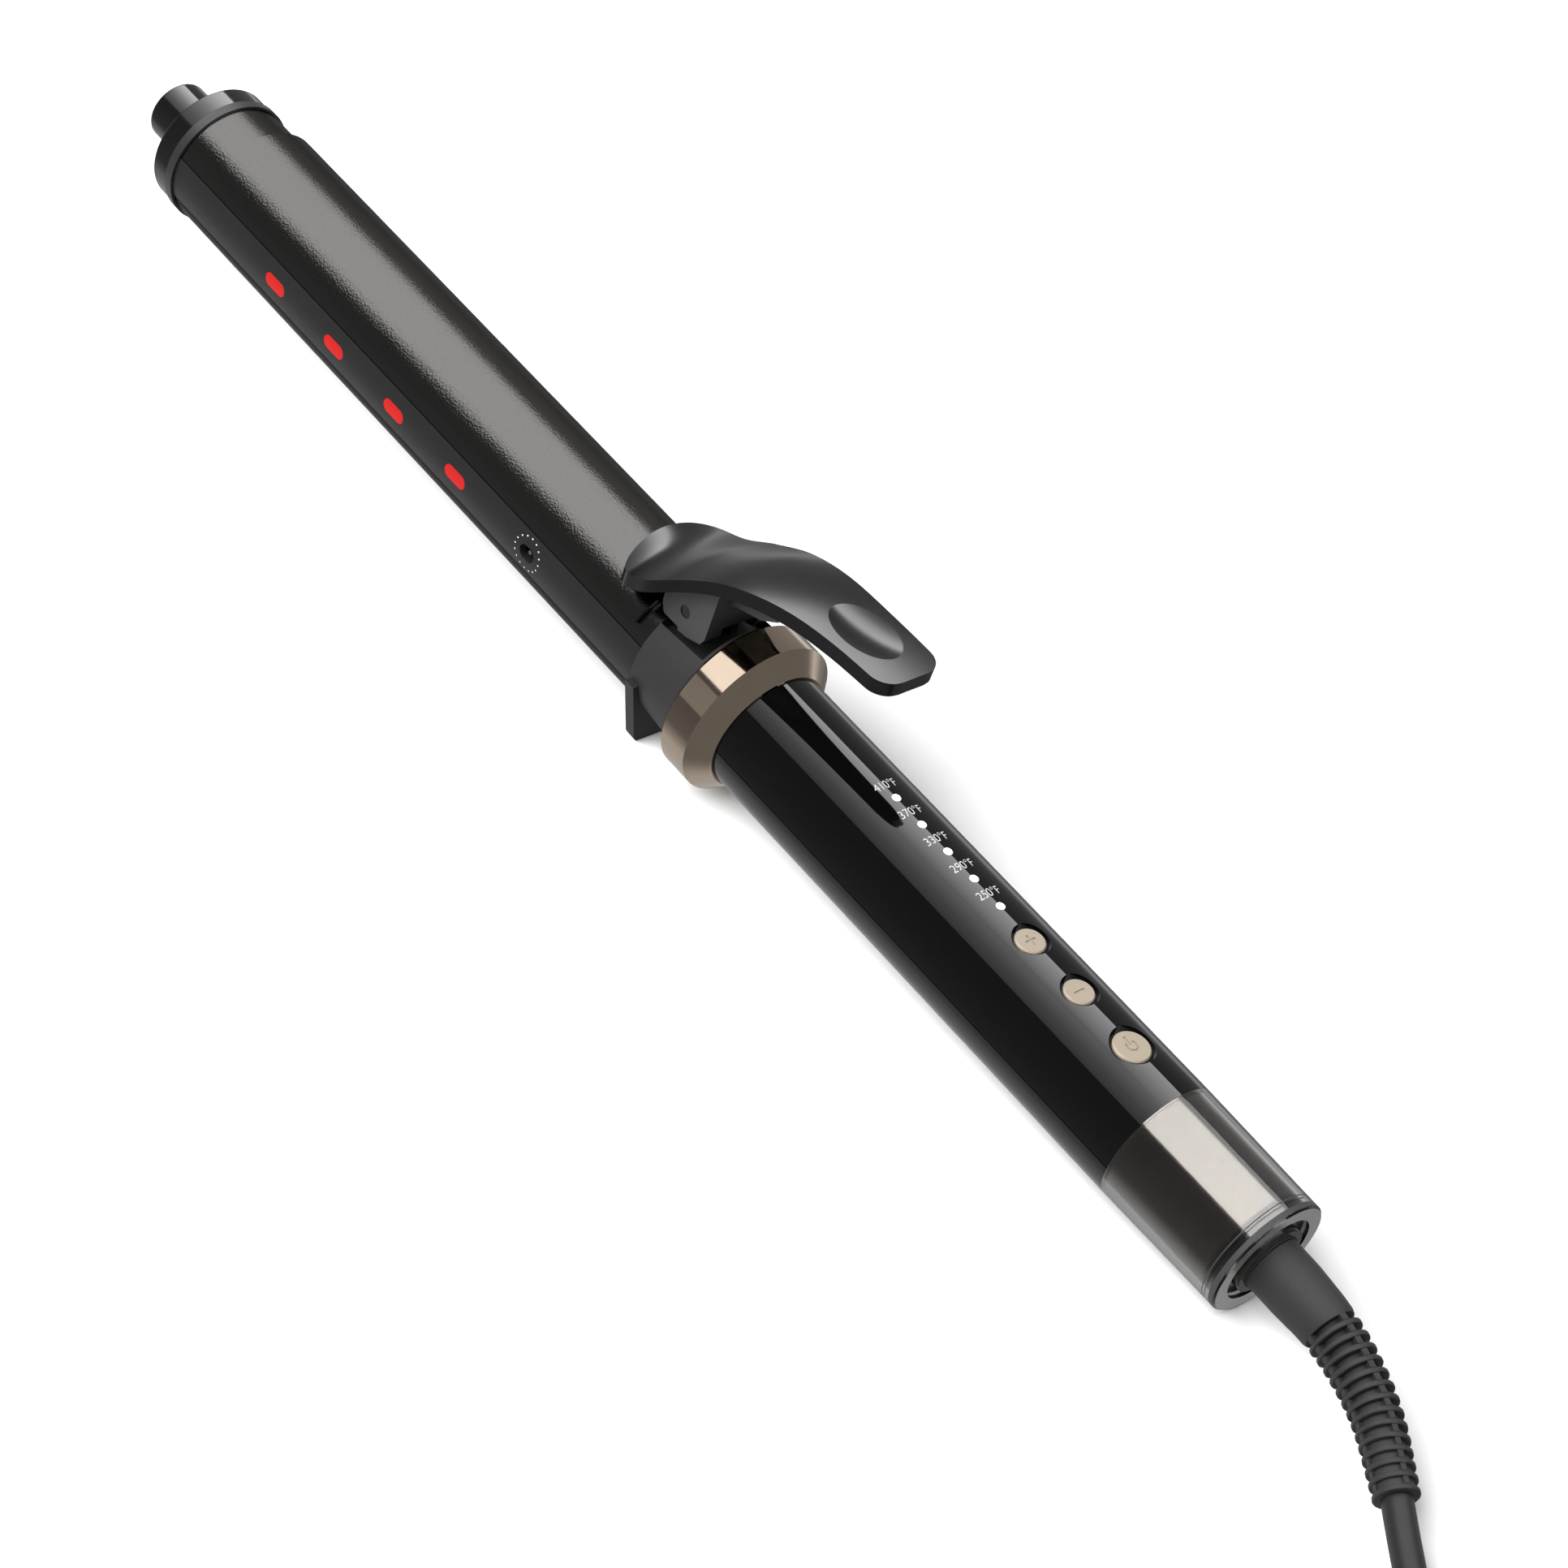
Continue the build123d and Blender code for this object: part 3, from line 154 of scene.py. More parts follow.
# Strain relief: the corners of its centre line, along, across and above
RELIEF_LINE = [(398.5, 0.0, 0.0), (417.6, 0.0, -0.5), (434.6, -4.6, -2.2)]
# How much of the shorter leg each rounded corner takes, and its steps
BEND_SHARE = 0.45
BEND_STEPS = 12
# Share of the relief's length, radius of its boot
RELIEF_R = [(0.0, 6.65), (0.13, 6.65), (0.256, 6.25), (0.305, 6.1), (0.32, 5.8)]
BOOT_SHARE = 0.32
RIB_COUNT = 14
RIB_WIDTH = 1.2
RIB_R = (6.05, 4.75)
# In rib pitches: from the boot to the first rib, and the run's length over the count of ribs
RIB_START = 0.75
RIB_SPARE = 0.1
# Place as a share of a rib's half width, drop below the rib's top
RIB_PROFILE = [(-1, 0.35), (-0.85, 0.12), (-0.5, 0.0), (0.5, 0.0), (0.85, 0.12), (1, 0.35)]
CORE_WALL = 0.8
WEB_WIDTH = 1.5
WEB_SINK = 0.15
# Degrees over which the two sides of a web rise, taken together
WEB_EDGE = 0.02
# Angles of the points between two webs
WEB_GAP = range(12, 80, 6)
# The relief's root: its start, the length and radius of its keeper, and the radius of the rest
KEEPER = (385.3, 1.6, 8.5, 6.94)
ROOT_SIDES = 48

# Cord: its centre line from the strain relief to the hank, the hank, and on to the plug
CORD_D = 6.5
CORD_LEAD = [
    (243.0, -14.4, 7.4), (256.0, -23.6, 4.9), (270.5, -32.6, 3.6), (288.0, -39.6, 3.3),
    (305.5, -42.0, 3.25),
]
CORD_TAIL = [(336.0, -35.4, 23.6), (349.5, -34.6, 26.2), (362.0, -34.2, 27.1)]
# Fineness of the cord's curve, along and around, and the order of its spline
CORD_STEPS = 6
CORD_ORDER = 3
# The hank: centre of its near fold, length of its straight runs, middle radius of its folds
HANK_NEAR = (322.0, -14.0)
HANK_RUN = 62.0
HANK_R = 24.75
HANK_TURNS = 6
# Share of a turn that the move to the next turn's place takes
HANK_MOVE = 0.27
# Shares of the last turn where it starts to rise to the plug, and where it would be a cord's
# width higher
HANK_RISE = (0.8, 1.3)
# Points along each straight run and each fold
RUN_STEPS = 3
FOLD_STEPS = 7

JOINTS = {joint["name"]: joint for joint in frame["joints"]}
SWIVEL = JOINTS["cord_swivel"]
ALONG = Vector(SWIVEL["axis"]).normalized()
ACROSS = Vector((0, 1, 0))
ABOVE = ALONG.cross(ACROSS)
ORIGIN = Vector(SWIVEL["pos_m"]) - ALONG * END * MM


def iron(x, y, z):
    """The place in metres of a point along, across and above the iron's axis."""
    return ORIGIN + (ALONG * x + ACROSS * y + ABOVE * z) * MM


def around(x, angle, radius):
    """A point on a circle about the axis; 90 degrees is the lever's side, 180 the strip's."""
    return iron(x, radius * cos(radians(angle)), radius * sin(radians(angle)))


def swing(length, radius):
    """The angle in degrees that a length covers on a round."""
    return length / radius * 180 / pi


def smooth(low, high, value):
    """0 below low, 1 above high, and a soft step between."""
    share = min(1.0, max(0.0, (value - low) / (high - low)))
    return share * share * (3 - 2 * share)


def mesh_piece(name, verts, faces, body, material):
    """A mesh of world points that rides on a body."""
    mesh = bpy.data.meshes.new(name)
    mesh.from_pydata([tuple(v) for v in verts], [], faces)
    work = bmesh.new()
    work.from_mesh(mesh)
    bmesh.ops.remove_doubles(work, verts=work.verts, dist=WELD)
    bmesh.ops.recalc_face_normals(work, faces=work.faces)
    work.to_mesh(mesh)
    work.free()
    mesh.shade_smooth()
    mesh.set_sharp_from_angle(angle=radians(SHARP_ANGLE))
    piece = bpy.data.objects.new(name, mesh)
    bpy.context.collection.objects.link(piece)
    mesh.materials.append(material)
    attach(piece, body)
    return piece


# Camera
def make_camera():
    """The camera looks at AIM from DISTANCE, turned by azimuth, elevation and roll."""
    azimuth, elevation, roll = radians(AZIMUTH), radians(ELEVATION), radians(ROLL)
    back = Vector((sin(azimuth) * cos(elevation), -cos(azimuth) * cos(elevation), sin(elevation)))
    level_right = Vector((cos(azimuth), sin(azimuth), 0))
    level_up = back.cross(level_right)
    right = level_right * cos(roll) + level_up * sin(roll)
    up = back.cross(right)
    camera = bpy.data.objects.new("camera", bpy.data.cameras.new("camera"))
    bpy.context.collection.objects.link(camera)
    place = Matrix((right, up, back)).transposed().to_4x4()
    place.translation = iron(*AIM) + back * DISTANCE * MM
    camera.matrix_world = place
    camera.data.lens = LENS
    camera.data.sensor_width = SENSOR
    camera.data.clip_start = CLIP_START
    bpy.context.scene.camera = camera


# Finishes
MOTTLE_DETAIL = 4.0
HAZE_DETAIL = 3.0
GRAIN_DETAIL = 2.0


def finish(name, colour, roughness, mottle=(6.0, 0.06), haze=(9.0, 0.04), grain=(0.4, 0.004), **sockets):
    """A Principled material.  mottle is (patch size, share) of colour change, haze is
    (patch size, amount) of roughness change, and grain is (size, height) of bump."""
    material = bpy.data.materials.new(name)
    material.use_nodes = True
    tree = material.node_tree
    shader = tree.nodes["Principled BSDF"]
    place = tree.nodes.new("ShaderNodeTexCoord").outputs["Object"]

    def noise(size, detail):
        node = tree.nodes.new("ShaderNodeTexNoise")
        node.inputs["Scale"].default_value = 1 / (size * MM)
        node.inputs["Detail"].default_value = detail
        tree.links.new(place, node.inputs["Vector"])
        return node.outputs["Fac"]

    tint = tree.nodes.new("ShaderNodeMix")
    tint.data_type = "RGBA"
    tint.inputs["A"].default_value = (*(c * (1 - mottle[1]) for c in colour), 1)
    tint.inputs["B"].default_value = (*(min(1, c * (1 + mottle[1])) for c in colour), 1)
    tree.links.new(noise(mottle[0], MOTTLE_DETAIL), tint.inputs["Factor"])
    tree.links.new(tint.outputs["Result"], shader.inputs["Base Color"])
    spread = tree.nodes.new("ShaderNodeMapRange")
    spread.inputs["To Min"].default_value = max(0.0, roughness - haze[1])
    spread.inputs["To Max"].default_value = roughness + haze[1]
    tree.links.new(noise(haze[0], HAZE_DETAIL), spread.inputs["Value"])
    tree.links.new(spread.outputs["Result"], shader.inputs["Roughness"])
    if grain[1]:
        bump = tree.nodes.new("ShaderNodeBump")
        bump.inputs["Distance"].default_value = grain[1] * MM
        tree.links.new(noise(grain[0], GRAIN_DETAIL), bump.inputs["Height"])
        tree.links.new(bump.outputs["Normal"], shader.inputs["Normal"])
    for socket, value in sockets.items():
        shader.inputs[socket.replace("_", " ")].default_value = value
    return material


def grey(value):
    """A neutral colour."""
    return (value, value, value)


GLOSS = {"haze": (12.0, 0.01), "grain": (2.0, 0.0)}
COATING = {
    "colour": (0.16, 0.157, 0.152),
    "roughness": 0.16,
    "mottle": (0.5, 0.10),
    "grain": (0.5, 0.07),
    "Metallic": 1.0,
    "Specular_Tint": (0.3, 0.3, 0.3, 1),
}
# One look for each material slot, and end_face for the sleeve's frosted end
LOOKS = {
    "tip_black": dict(
        colour=grey(0.003), roughness=0.1, haze=(8.0, 0.02), grain=(1.0, 0.001), Specular_IOR_Level=0.8
    ),
    "tip_ring_grey": dict(colour=grey(0.014), roughness=0.42, grain=(0.3, 0.008), Specular_IOR_Level=1.0),
    "barrel_coating": COATING,
    "clamp_coating": COATING,
    "strip_plastic": dict(colour=grey(0.010), roughness=0.45, grain=(0.3, 0.004)),
    "red_lens": dict(
        colour=(0.08, 0.002, 0.002), roughness=0.3, grain=(1.0, 0.002), Specular_IOR_Level=0.2,
        Emission_Color=(1.0, 0.025, 0.02, 1), Emission_Strength=0.58,
    ),
    "board_green": dict(colour=(0.02, 0.12, 0.05), roughness=0.4),
    "led_package": dict(colour=(0.85, 0.85, 0.8), roughness=0.3),
    "needle_steel": dict(colour=grey(0.55), roughness=0.3, Metallic=1.0),
    "heater_ceramic": dict(colour=(0.75, 0.68, 0.55), roughness=0.6),
    "spreader_aluminium": dict(colour=grey(0.7), roughness=0.35, Metallic=1.0),
    "sensor_glass": dict(colour=(0.5, 0.3, 0.1), roughness=0.2),
    "fuse_metal": dict(colour=(0.7, 0.6, 0.35), roughness=0.3, Metallic=1.0),
    "wire_silicone": dict(colour=(0.5, 0.05, 0.04), roughness=0.5),
    "neck_matte": dict(colour=grey(0.017), roughness=0.55, mottle=(0.6, 0.10), grain=(0.3, 0.012)),
    "champagne_metal": dict(colour=(0.52, 0.42, 0.33), roughness=0.09, Metallic=1.0, **GLOSS),
    "handle_black": dict(colour=grey(0.0015), roughness=0.045, **GLOSS),
    "screw_steel": dict(colour=grey(0.55), roughness=0.3, Metallic=1.0),
    "dot_white": dict(
        colour=grey(0.95), roughness=0.3, Emission_Color=(1, 1, 1, 1), Emission_Strength=1.2
    ),
    "button_champagne": dict(
        colour=(0.34, 0.288, 0.224), roughness=0.4, grain=(0.2, 0.003), Metallic=0.3
    ),
    "switch_black": dict(colour=grey(0.03), roughness=0.5),
    "module_black": dict(colour=grey(0.02), roughness=0.6),
    "can_black": dict(colour=(0.02, 0.02, 0.05), roughness=0.3),
    "terminal_white": dict(colour=grey(0.8), roughness=0.5),
    "coupler_black": dict(colour=grey(0.03), roughness=0.5),
    "bronze_sleeve": dict(colour=(0.3, 0.278, 0.25), roughness=0.14, Metallic=1.0, **GLOSS),
    "smoke_clear": dict(
        colour=grey(0.98), roughness=0.03, mottle=(20.0, 0.02), haze=(12.0, 0.01), grain=(2.0, 0.0),
        Transmission_Weight=1.0, IOR=1.49, Specular_IOR_Level=0.25,
    ),
    "end_face": dict(colour=grey(0.82), roughness=0.3, Metallic=0.9),
    "end_disc": dict(colour=(0.17, 0.164, 0.155), roughness=0.2, Metallic=1.0),
    "bush_black": dict(colour=(0.03, 0.028, 0.025), roughness=0.15),
    "pin_steel": dict(colour=grey(0.12), roughness=0.3, Metallic=1.0),
    "spring_steel": dict(colour=grey(0.5), roughness=0.3, Metallic=1.0),
    "lever_black": dict(
        colour=grey(0.003), roughness=0.2, haze=(10.0, 0.02), grain=(0.3, 0.002)
    ),
    "bracket_grey": dict(colour=grey(0.035), roughness=0.5, grain=(0.3, 0.006)),
    "rivet_steel": dict(colour=grey(0.35), roughness=0.35, Metallic=1.0),
    "cord_rubber": dict(colour=grey(0.018), roughness=0.55, mottle=(0.8, 0.12), grain=(0.35, 0.02)),
    "cord_jacket": dict(colour=grey(0.012), roughness=0.42, grain=(0.4, 0.01)),
    "tie_black": dict(colour=grey(0.03), roughness=0.6),
    "plug_black": dict(colour=grey(0.02), roughness=0.45, grain=(0.4, 0.02)),
    "blade_brass": dict(colour=(0.72, 0.68, 0.55), roughness=0.25, Metallic=1.0),
}
FINISHES = {name: finish(name, **look) for name, look in LOOKS.items()}
SEAM_DARK = finish("seam_dark", grey(0.001), 0.9, grain=(1.0, 0.0), Specular_IOR_Level=0.0)
# White print with a painted glow: grey print whose white comes from emission, which stands in for light falling on
# the marks
PRINT_WHITE_PAINTED_GLOW = finish(
    "print_white_painted_glow", grey(0.3), 0.4, Emission_Color=(1, 1, 1, 1), Emission_Strength=0.35
)


def smoke(material, depth):
    """Darkens a clear material with its thickness, to about a third over depth."""
    tree = material.node_tree
    volume = tree.nodes.new("ShaderNodeVolumeAbsorption")
    volume.inputs["Color"].default_value = SMOKE_COLOUR
    volume.inputs["Density"].default_value = 1 / (depth * MM)
    tree.links.new(volume.outputs["Volume"], tree.nodes["Material Output"].inputs["Volume"])


smoke(FINISHES["smoke_clear"], SMOKE_DEPTH)

for part in frame["record"]["subparts"]:
    node = frame["nodes"][part["node"]]
    node.data.materials.clear()
    node.data.materials.append(FINISHES[part["material_slot"]])


# Marks
def disc(x, angle, radius, size):
    """The corners of a small printed disc on a round of the iron."""
    corners = []
    for side in range(DOT_SIDES):
        turn = 2 * pi * side / DOT_SIDES
        corners.append(around(x + size * cos(turn), angle + swing(size * sin(turn), radius), radius))
    return corners


def make_marks():
    """The temperatures beside the dots, printed on the round of the handle, with a painted glow."""
    verts, faces = [], []
    for count, text in enumerate(LABELS):
        curve = bpy.data.curves.new("label", "FONT")
        curve.body = text
        curve.offset = LABEL_WEIGHT
        holder = bpy.data.objects.new("label", curve)
        bpy.context.collection.objects.link(holder)
        bpy.context.view_layer.update()
        flat = bpy.data.meshes.new_from_object(holder)
        bpy.data.objects.remove(holder)
        places = [v.co.copy() for v in flat.vertices]
        left, right = min(p.x for p in places), max(p.x for p in places)
        low, high = min(p.y for p in places), max(p.y for p in places)
        start = len(verts)
        for place in places:
            arc = LABEL_ARC[0] + (LABEL_ARC[1] - LABEL_ARC[0]) * (place.x - left) / (right - left)
            rise = LABEL_HEIGHT * (place.y - low) / (high - low)
            x = DOT_FIRST + DOT_PITCH * count - LABEL_BASE - rise
            verts.append(around(x, LEVER_SIDE - swing(arc, HANDLE_R), HANDLE_R + PRINT))
        faces += [[start + index for index in face.vertices] for face in flat.polygons]
        bpy.data.meshes.remove(flat)
    mesh_piece("temperature_marks", verts, faces, "root", PRINT_WHITE_PAINTED_GLOW)


def make_ion_dots():
    """A plain ring of printed dots round the ion outlet, with a painted glow."""
    verts, faces = [], []
    for count in range(ION_DOTS):
        turn = 2 * pi * count / ION_DOTS
        x = OUTLET + ION_RING_R * cos(turn)
        angle = STRIP_SIDE + swing(ION_RING_R * sin(turn), BARREL_R)
        corners = disc(x, angle, BARREL_R + PRINT, ION_DOT_R)
        faces.append(list(range(len(verts), len(verts) + len(corners))))
        verts += corners
    mesh_piece("ion_dots", verts, faces, "root", PRINT_WHITE_PAINTED_GLOW)


def ring_piece(name, edges, finish_name):
    """A printed band between two (x, radius) edges."""
    verts, faces = [], []
    for side in range(BAND_SIDES):
        verts += [around(x, 360 * side / BAND_SIDES, radius) for x, radius in edges]
        a, b = 2 * side, 2 * ((side + 1) % BAND_SIDES)
        faces.append([a, a + 1, b + 1, b])
    mesh_piece(name, verts, faces, "root", FINISHES[finish_name])


def make_seams():
    """A thin dark line along each straight joint line of the handle and the barrel."""
    for name, angle, radius, start, stop in SEAMS:
        half = swing(SEAM_WIDTH / 2, radius)
        corners = [(start, -half), (start, half), (stop, -half), (stop, half)]
        verts = [around(x, angle + aside, radius + PRINT) for x, aside in corners]
        mesh_piece(name, verts, [(0, 1, 3, 2)], "root", SEAM_DARK)


def make_end():
    """Two dark bands near the clear sleeve's end, and its frosted end face."""
    for count, (middle, width) in enumerate(BANDS):
        edges = []
        for x in (middle - width / 2, middle + width / 2):
            share = (x - SLEEVE) / (END - SLEEVE)
            edges.append((x, HANDLE_R + (SLEEVE_END_R - HANDLE_R) * share + PRINT))
        ring_piece(f"sleeve_band_{count}", edges, "coupler_black")
    face = [(END + PRINT, SLEEVE_END_R - END_BEVEL), (END + PRINT, SLEEVE_END_R - END_RIM)]
    ring_piece("sleeve_face", face, "end_face")


# Thumb lever
def curve_at(stops, at, column):
    """A smooth curve through rows of stops, whose first column is the place."""
    last = len(stops) - 2
    run = next((i for i in range(last + 1) if at <= stops[i + 1][0]), last)
    (x0, y0), (x1, y1) = ((stops[i][0], stops[i][column]) for i in (run, run + 1))

    def slope(i):
        before, after = max(0, i - 1), min(len(stops) - 1, i + 1)
        return (stops[after][column] - stops[before][column]) / (stops[after][0] - stops[before][0])

    span = x1 - x0
    t = (at - x0) / span
    start = (2 * t**3 - 3 * t**2 + 1) * y0 + (t**3 - 2 * t**2 + t) * span * slope(run)
    return start + (3 * t**2 - 2 * t**3) * y1 + (t**3 - t**2) * span * slope(run + 1)


def lever_half_width(share, inset):
    """Half the lever's width at a share of its length, with its corners rounded."""
    length = LEVER_END - LEVER_START - 2 * inset
    half = LEVER_NARROW + (LEVER_WIDE - LEVER_NARROW) * curve_at(LEVER_EDGE, share, 1) - inset
    for corner, gone in zip(LEVER_CORNERS, (share * length, (1 - share) * length)):
        corner -= inset
        if gone < corner:
            half -= corner - (corner**2 - (corner - gone) ** 2) ** 0.5
    return half


def lever_top(x, y):
    """The height of the lever's crown over a point."""
    share = (x - LEVER_START) / (LEVER_END - LEVER_START)
    crown = LEVER_FRONT_Z + (LEVER_REAR_Z - LEVER_FRONT_Z) * curve_at(LEVER_CROWN, share, 1)
    return crown - curve_at(LEVER_CROWN, share, 2) * (y / CROWN_HALF) ** 2


def lever_sheet(inset, drop):
    """A grid of points over the lever's outline, drop below its crown."""
    places = []
    for row in range(LEVER_ROWS + 1):
        # Rows crowd together at both ends, where the corners turn
        crowded = (1 - cos(pi * row / LEVER_ROWS)) / 2
        share = crowded * ROW_CROWDING + row / LEVER_ROWS * (1 - ROW_CROWDING)
        half = lever_half_width(share, inset)
        for column in range(LEVER_COLUMNS + 1):
            y = half * (2 * column / LEVER_COLUMNS - 1)
            x = LEVER_START + inset + share * (LEVER_END - LEVER_START - 2 * inset)
            x += y * y / (2 * LEVER_ARC_R) * max(0.0, 1 - share / LEVER_ARC_SHARE) ** 2
            places.append((x, y, lever_top(x, y) - drop))
    return places


def lever_shell():
    """The lever's crown, skirt and inside, before the dimple is cut."""
    rows, columns = LEVER_ROWS, LEVER_COLUMNS
    rim = list(range(columns))
    rim += [row * (columns + 1) + columns for row in range(rows)]
    rim += [rows * (columns + 1) + column for column in range(columns, 0, -1)]
    rim += [row * (columns + 1) for row in range(rows, 0, -1)]
    size = (rows + 1) * (columns + 1)
    sheets = [
        lever_sheet(0, 0),
        lever_sheet(0, LEVER_SKIRT),
        lever_sheet(LEVER_WALL, LEVER_SKIRT),
        lever_sheet(LEVER_WALL, LEVER_WALL),
    ]
    verts = [iron(*place) for sheet in sheets for place in sheet]
    faces = []
    for row in range(rows):
        for column in range(columns):
            a = row * (columns + 1) + column
            faces.append((a, a + 1, a + columns + 2, a + columns + 1))
            b = a + 3 * size
            faces.append((b + columns + 1, b + columns + 2, b + 1, b))
    for here, there in zip(rim, rim[1:] + rim[:1]):
        for low, high in ((size, 0), (2 * size, size), (3 * size, 2 * size)):
            faces.append((here + high, here + low, there + low, there + high))
    return mesh_piece("lever_shell", verts, faces, "lever", FINISHES["lever_black"])


def dimple_cutter():
    """A stretched ball over the lever, whose lower cap is as long, wide and deep as the dimple."""
    ahead, behind = lever_top(DIMPLE_X + DIMPLE_REACH, 0), lever_top(DIMPLE_X - DIMPLE_REACH, 0)
    slope = (ahead - behind) / (2 * DIMPLE_REACH)
    tall = CAP_TIMES * DIMPLE_DEPTH
    ball = bmesh.new()
    bmesh.ops.create_uvsphere(ball, u_segments=BALL_STEPS[0], v_segments=BALL_STEPS[1], radius=1.0)
    cutter = bpy.data.objects.new("dimple", bpy.data.meshes.new("dimple"))
    for v in ball.verts:
        along = v.co.x * DIMPLE_SIZE[0] / CAP_WIDE
        side = v.co.y * DIMPLE_SIZE[1] / CAP_WIDE
        up = v.co.z * tall + (CAP_BASE * tall + along * slope)
        v.co = iron(DIMPLE_X + along, side, lever_top(DIMPLE_X, 0) + up)
    ball.to_mesh(cutter.data)
    ball.free()
    bpy.context.collection.objects.link(cutter)
    return cutter


def make_lever():
    """The thumb lever: a crowned shell with a skirt, and a dimple for the thumb."""
    lever = lever_shell()
    cutter = dimple_cutter()
    carve = lever.modifiers.new("dimple", "BOOLEAN")
    carve.object = cutter
    carve.operation = "DIFFERENCE"
    carve.solver = "EXACT"
    bpy.context.view_layer.update()
    evaluated = lever.evaluated_get(bpy.context.evaluated_depsgraph_get())
    carved = bpy.data.meshes.new_from_object(evaluated)
    lever.modifiers.remove(carve)
    bpy.data.objects.remove(cutter)
    carved.shade_smooth()
    carved.set_sharp_from_angle(angle=radians(DIMPLE_SHARP))
    lever.data = carved
    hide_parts("thumb_lever")


# Strain relief
def relief_line():
    """Close points along the relief's centre line, with each corner rounded off."""
    corners = [iron(*corner) for corner in RELIEF_LINE]
    corners.append(Vector(value * MM for value in CORD_LEAD[0]))
    line = [corners[0]]
    for before, corner, after in zip(corners, corners[1:], corners[2:]):
        run = BEND_SHARE * min((corner - before).length, (after - corner).length)
        start = corner + (before - corner).normalized() * run
        stop = corner + (after - corner).normalized() * run
        for step in range(BEND_STEPS + 1):
            t = step / BEND_STEPS
            line.append(start * (1 - t) ** 2 + corner * 2 * t * (1 - t) + stop * t**2)
    return line + [corners[-1]]


def relief_rings():
    """(share of the length, radius, radius over a web or None) for each ring of the relief."""
    rings = [(share, radius, None) for share, radius in RELIEF_R]
    length = sum((b - a).length for a, b in zip(RELIEF_PATH, RELIEF_PATH[1:])) / MM
    core = CORD_D / 2 + CORE_WALL
    for rib in range(RIB_COUNT):
        middle = BOOT_SHARE + (1 - BOOT_SHARE) * (rib + RIB_START) / (RIB_COUNT + RIB_SPARE)
        outer = RIB_R[0] + (RIB_R[1] - RIB_R[0]) * (rib + 0.5) / RIB_COUNT
        half = RIB_WIDTH / 2 / length
        gap = rings[-1][0]
        rings += [(gap, core, outer - WEB_SINK), (middle - half, core, outer - WEB_SINK)]
        for part, drop in RIB_PROFILE:
            rings.append((middle + part * half, outer - drop, None))
    return rings


def add_root(verts, faces):
    """Adds the relief's root, which turns inside the bush, and its keeper."""
    start, keeper, keeper_r, root_r = KEEPER
    step = start + keeper
    for near, far, radius in ((start, step, keeper_r), (step, RELIEF_LINE[0][0], root_r)):
        first, sides = len(verts), ROOT_SIDES
        for x in (near, far):
            verts += [around(x, 360 * side / sides, radius) for side in range(sides)]
        for side in range(sides):
            a, b = first + side, first + (side + 1) % sides
            faces.append((a, b, b + sides, a + sides))
        faces.append(tuple(range(first, first + sides))[::-1])
        faces.append(tuple(range(first + sides, first + 2 * sides)))


def make_relief():
    """The strain relief: a boot, then ribs joined by four webs along the bend."""
    lengths = [0.0]
    for a, b in zip(RELIEF_PATH, RELIEF_PATH[1:]):
        lengths.append(lengths[-1] + (b - a).length)

    def place(share):
        gone = share * lengths[-1]
        run = next((i for i in range(len(lengths) - 2) if gone <= lengths[i + 1]), len(lengths) - 2)
        a, b = RELIEF_PATH[run], RELIEF_PATH[run + 1]
        return a.lerp(b, (gone - lengths[run]) / (lengths[run + 1] - lengths[run])), (b - a).normalized()

    # Angles crowd at the webs, so that their sides are crisp
    angles = []
    for quarter in range(4):
        for share in (-0.5, 0.5):
            web = swing(share * WEB_WIDTH, RIB_R[0])
            pair = [(90 * quarter + web + WEB_EDGE * share, False), (90 * quarter + web, True)]
            angles += pair if share < 0 else pair[::-1]
        angles += [(90 * quarter + step, False) for step in WEB_GAP]
    verts, faces = [], []
    for share, radius, web in RELIEF_RINGS:
        middle, along = place(share)
        side = (ACROSS - along * ACROSS.dot(along)).normalized()
        above = along.cross(side)
        for angle, on_web in angles:
            reach = (web if web and on_web else radius) * MM
            turn = radians(angle)
            verts.append(middle + (side * cos(turn) + above * sin(turn)) * reach)
    count = len(angles)
    for ring in range(len(RELIEF_RINGS) - 1):
        for step in range(count):
            a, b = ring * count + step, ring * count + (step + 1) % count
            faces.append((a, b, b + count, a + count))
    faces.append(tuple(range(count))[::-1])
    faces.append(tuple(range((len(RELIEF_RINGS) - 1) * count, len(RELIEF_RINGS) * count)))
    add_root(verts, faces)
    relief = mesh_piece("relief", verts, faces, "cord", FINISHES["cord_rubber"])
    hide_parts("strain_relief")


RELIEF_PATH = relief_line()
RELIEF_RINGS = relief_rings()


# Cord
def hank_place(share, radius, height):
    """A point of a long turn: near run, far fold, back run, near fold, for share from 0 to 1."""
    fold = pi * HANK_R
    travel = share * 2 * (HANK_RUN + fold)
    x, y = HANK_NEAR
    if travel < HANK_RUN:
        return (x + travel, y - radius, height)
    if travel < HANK_RUN + fold:
        turned = (travel - HANK_RUN) / HANK_R
        return (x + HANK_RUN + radius * sin(turned), y - radius * cos(turned), height)
    if travel < 2 * HANK_RUN + fold:
        return (x + 2 * HANK_RUN + fold - travel, y + radius, height)
    turned = (travel - 2 * HANK_RUN - fold) / HANK_R
    return (x - radius * sin(turned), y + radius * cos(turned), height)


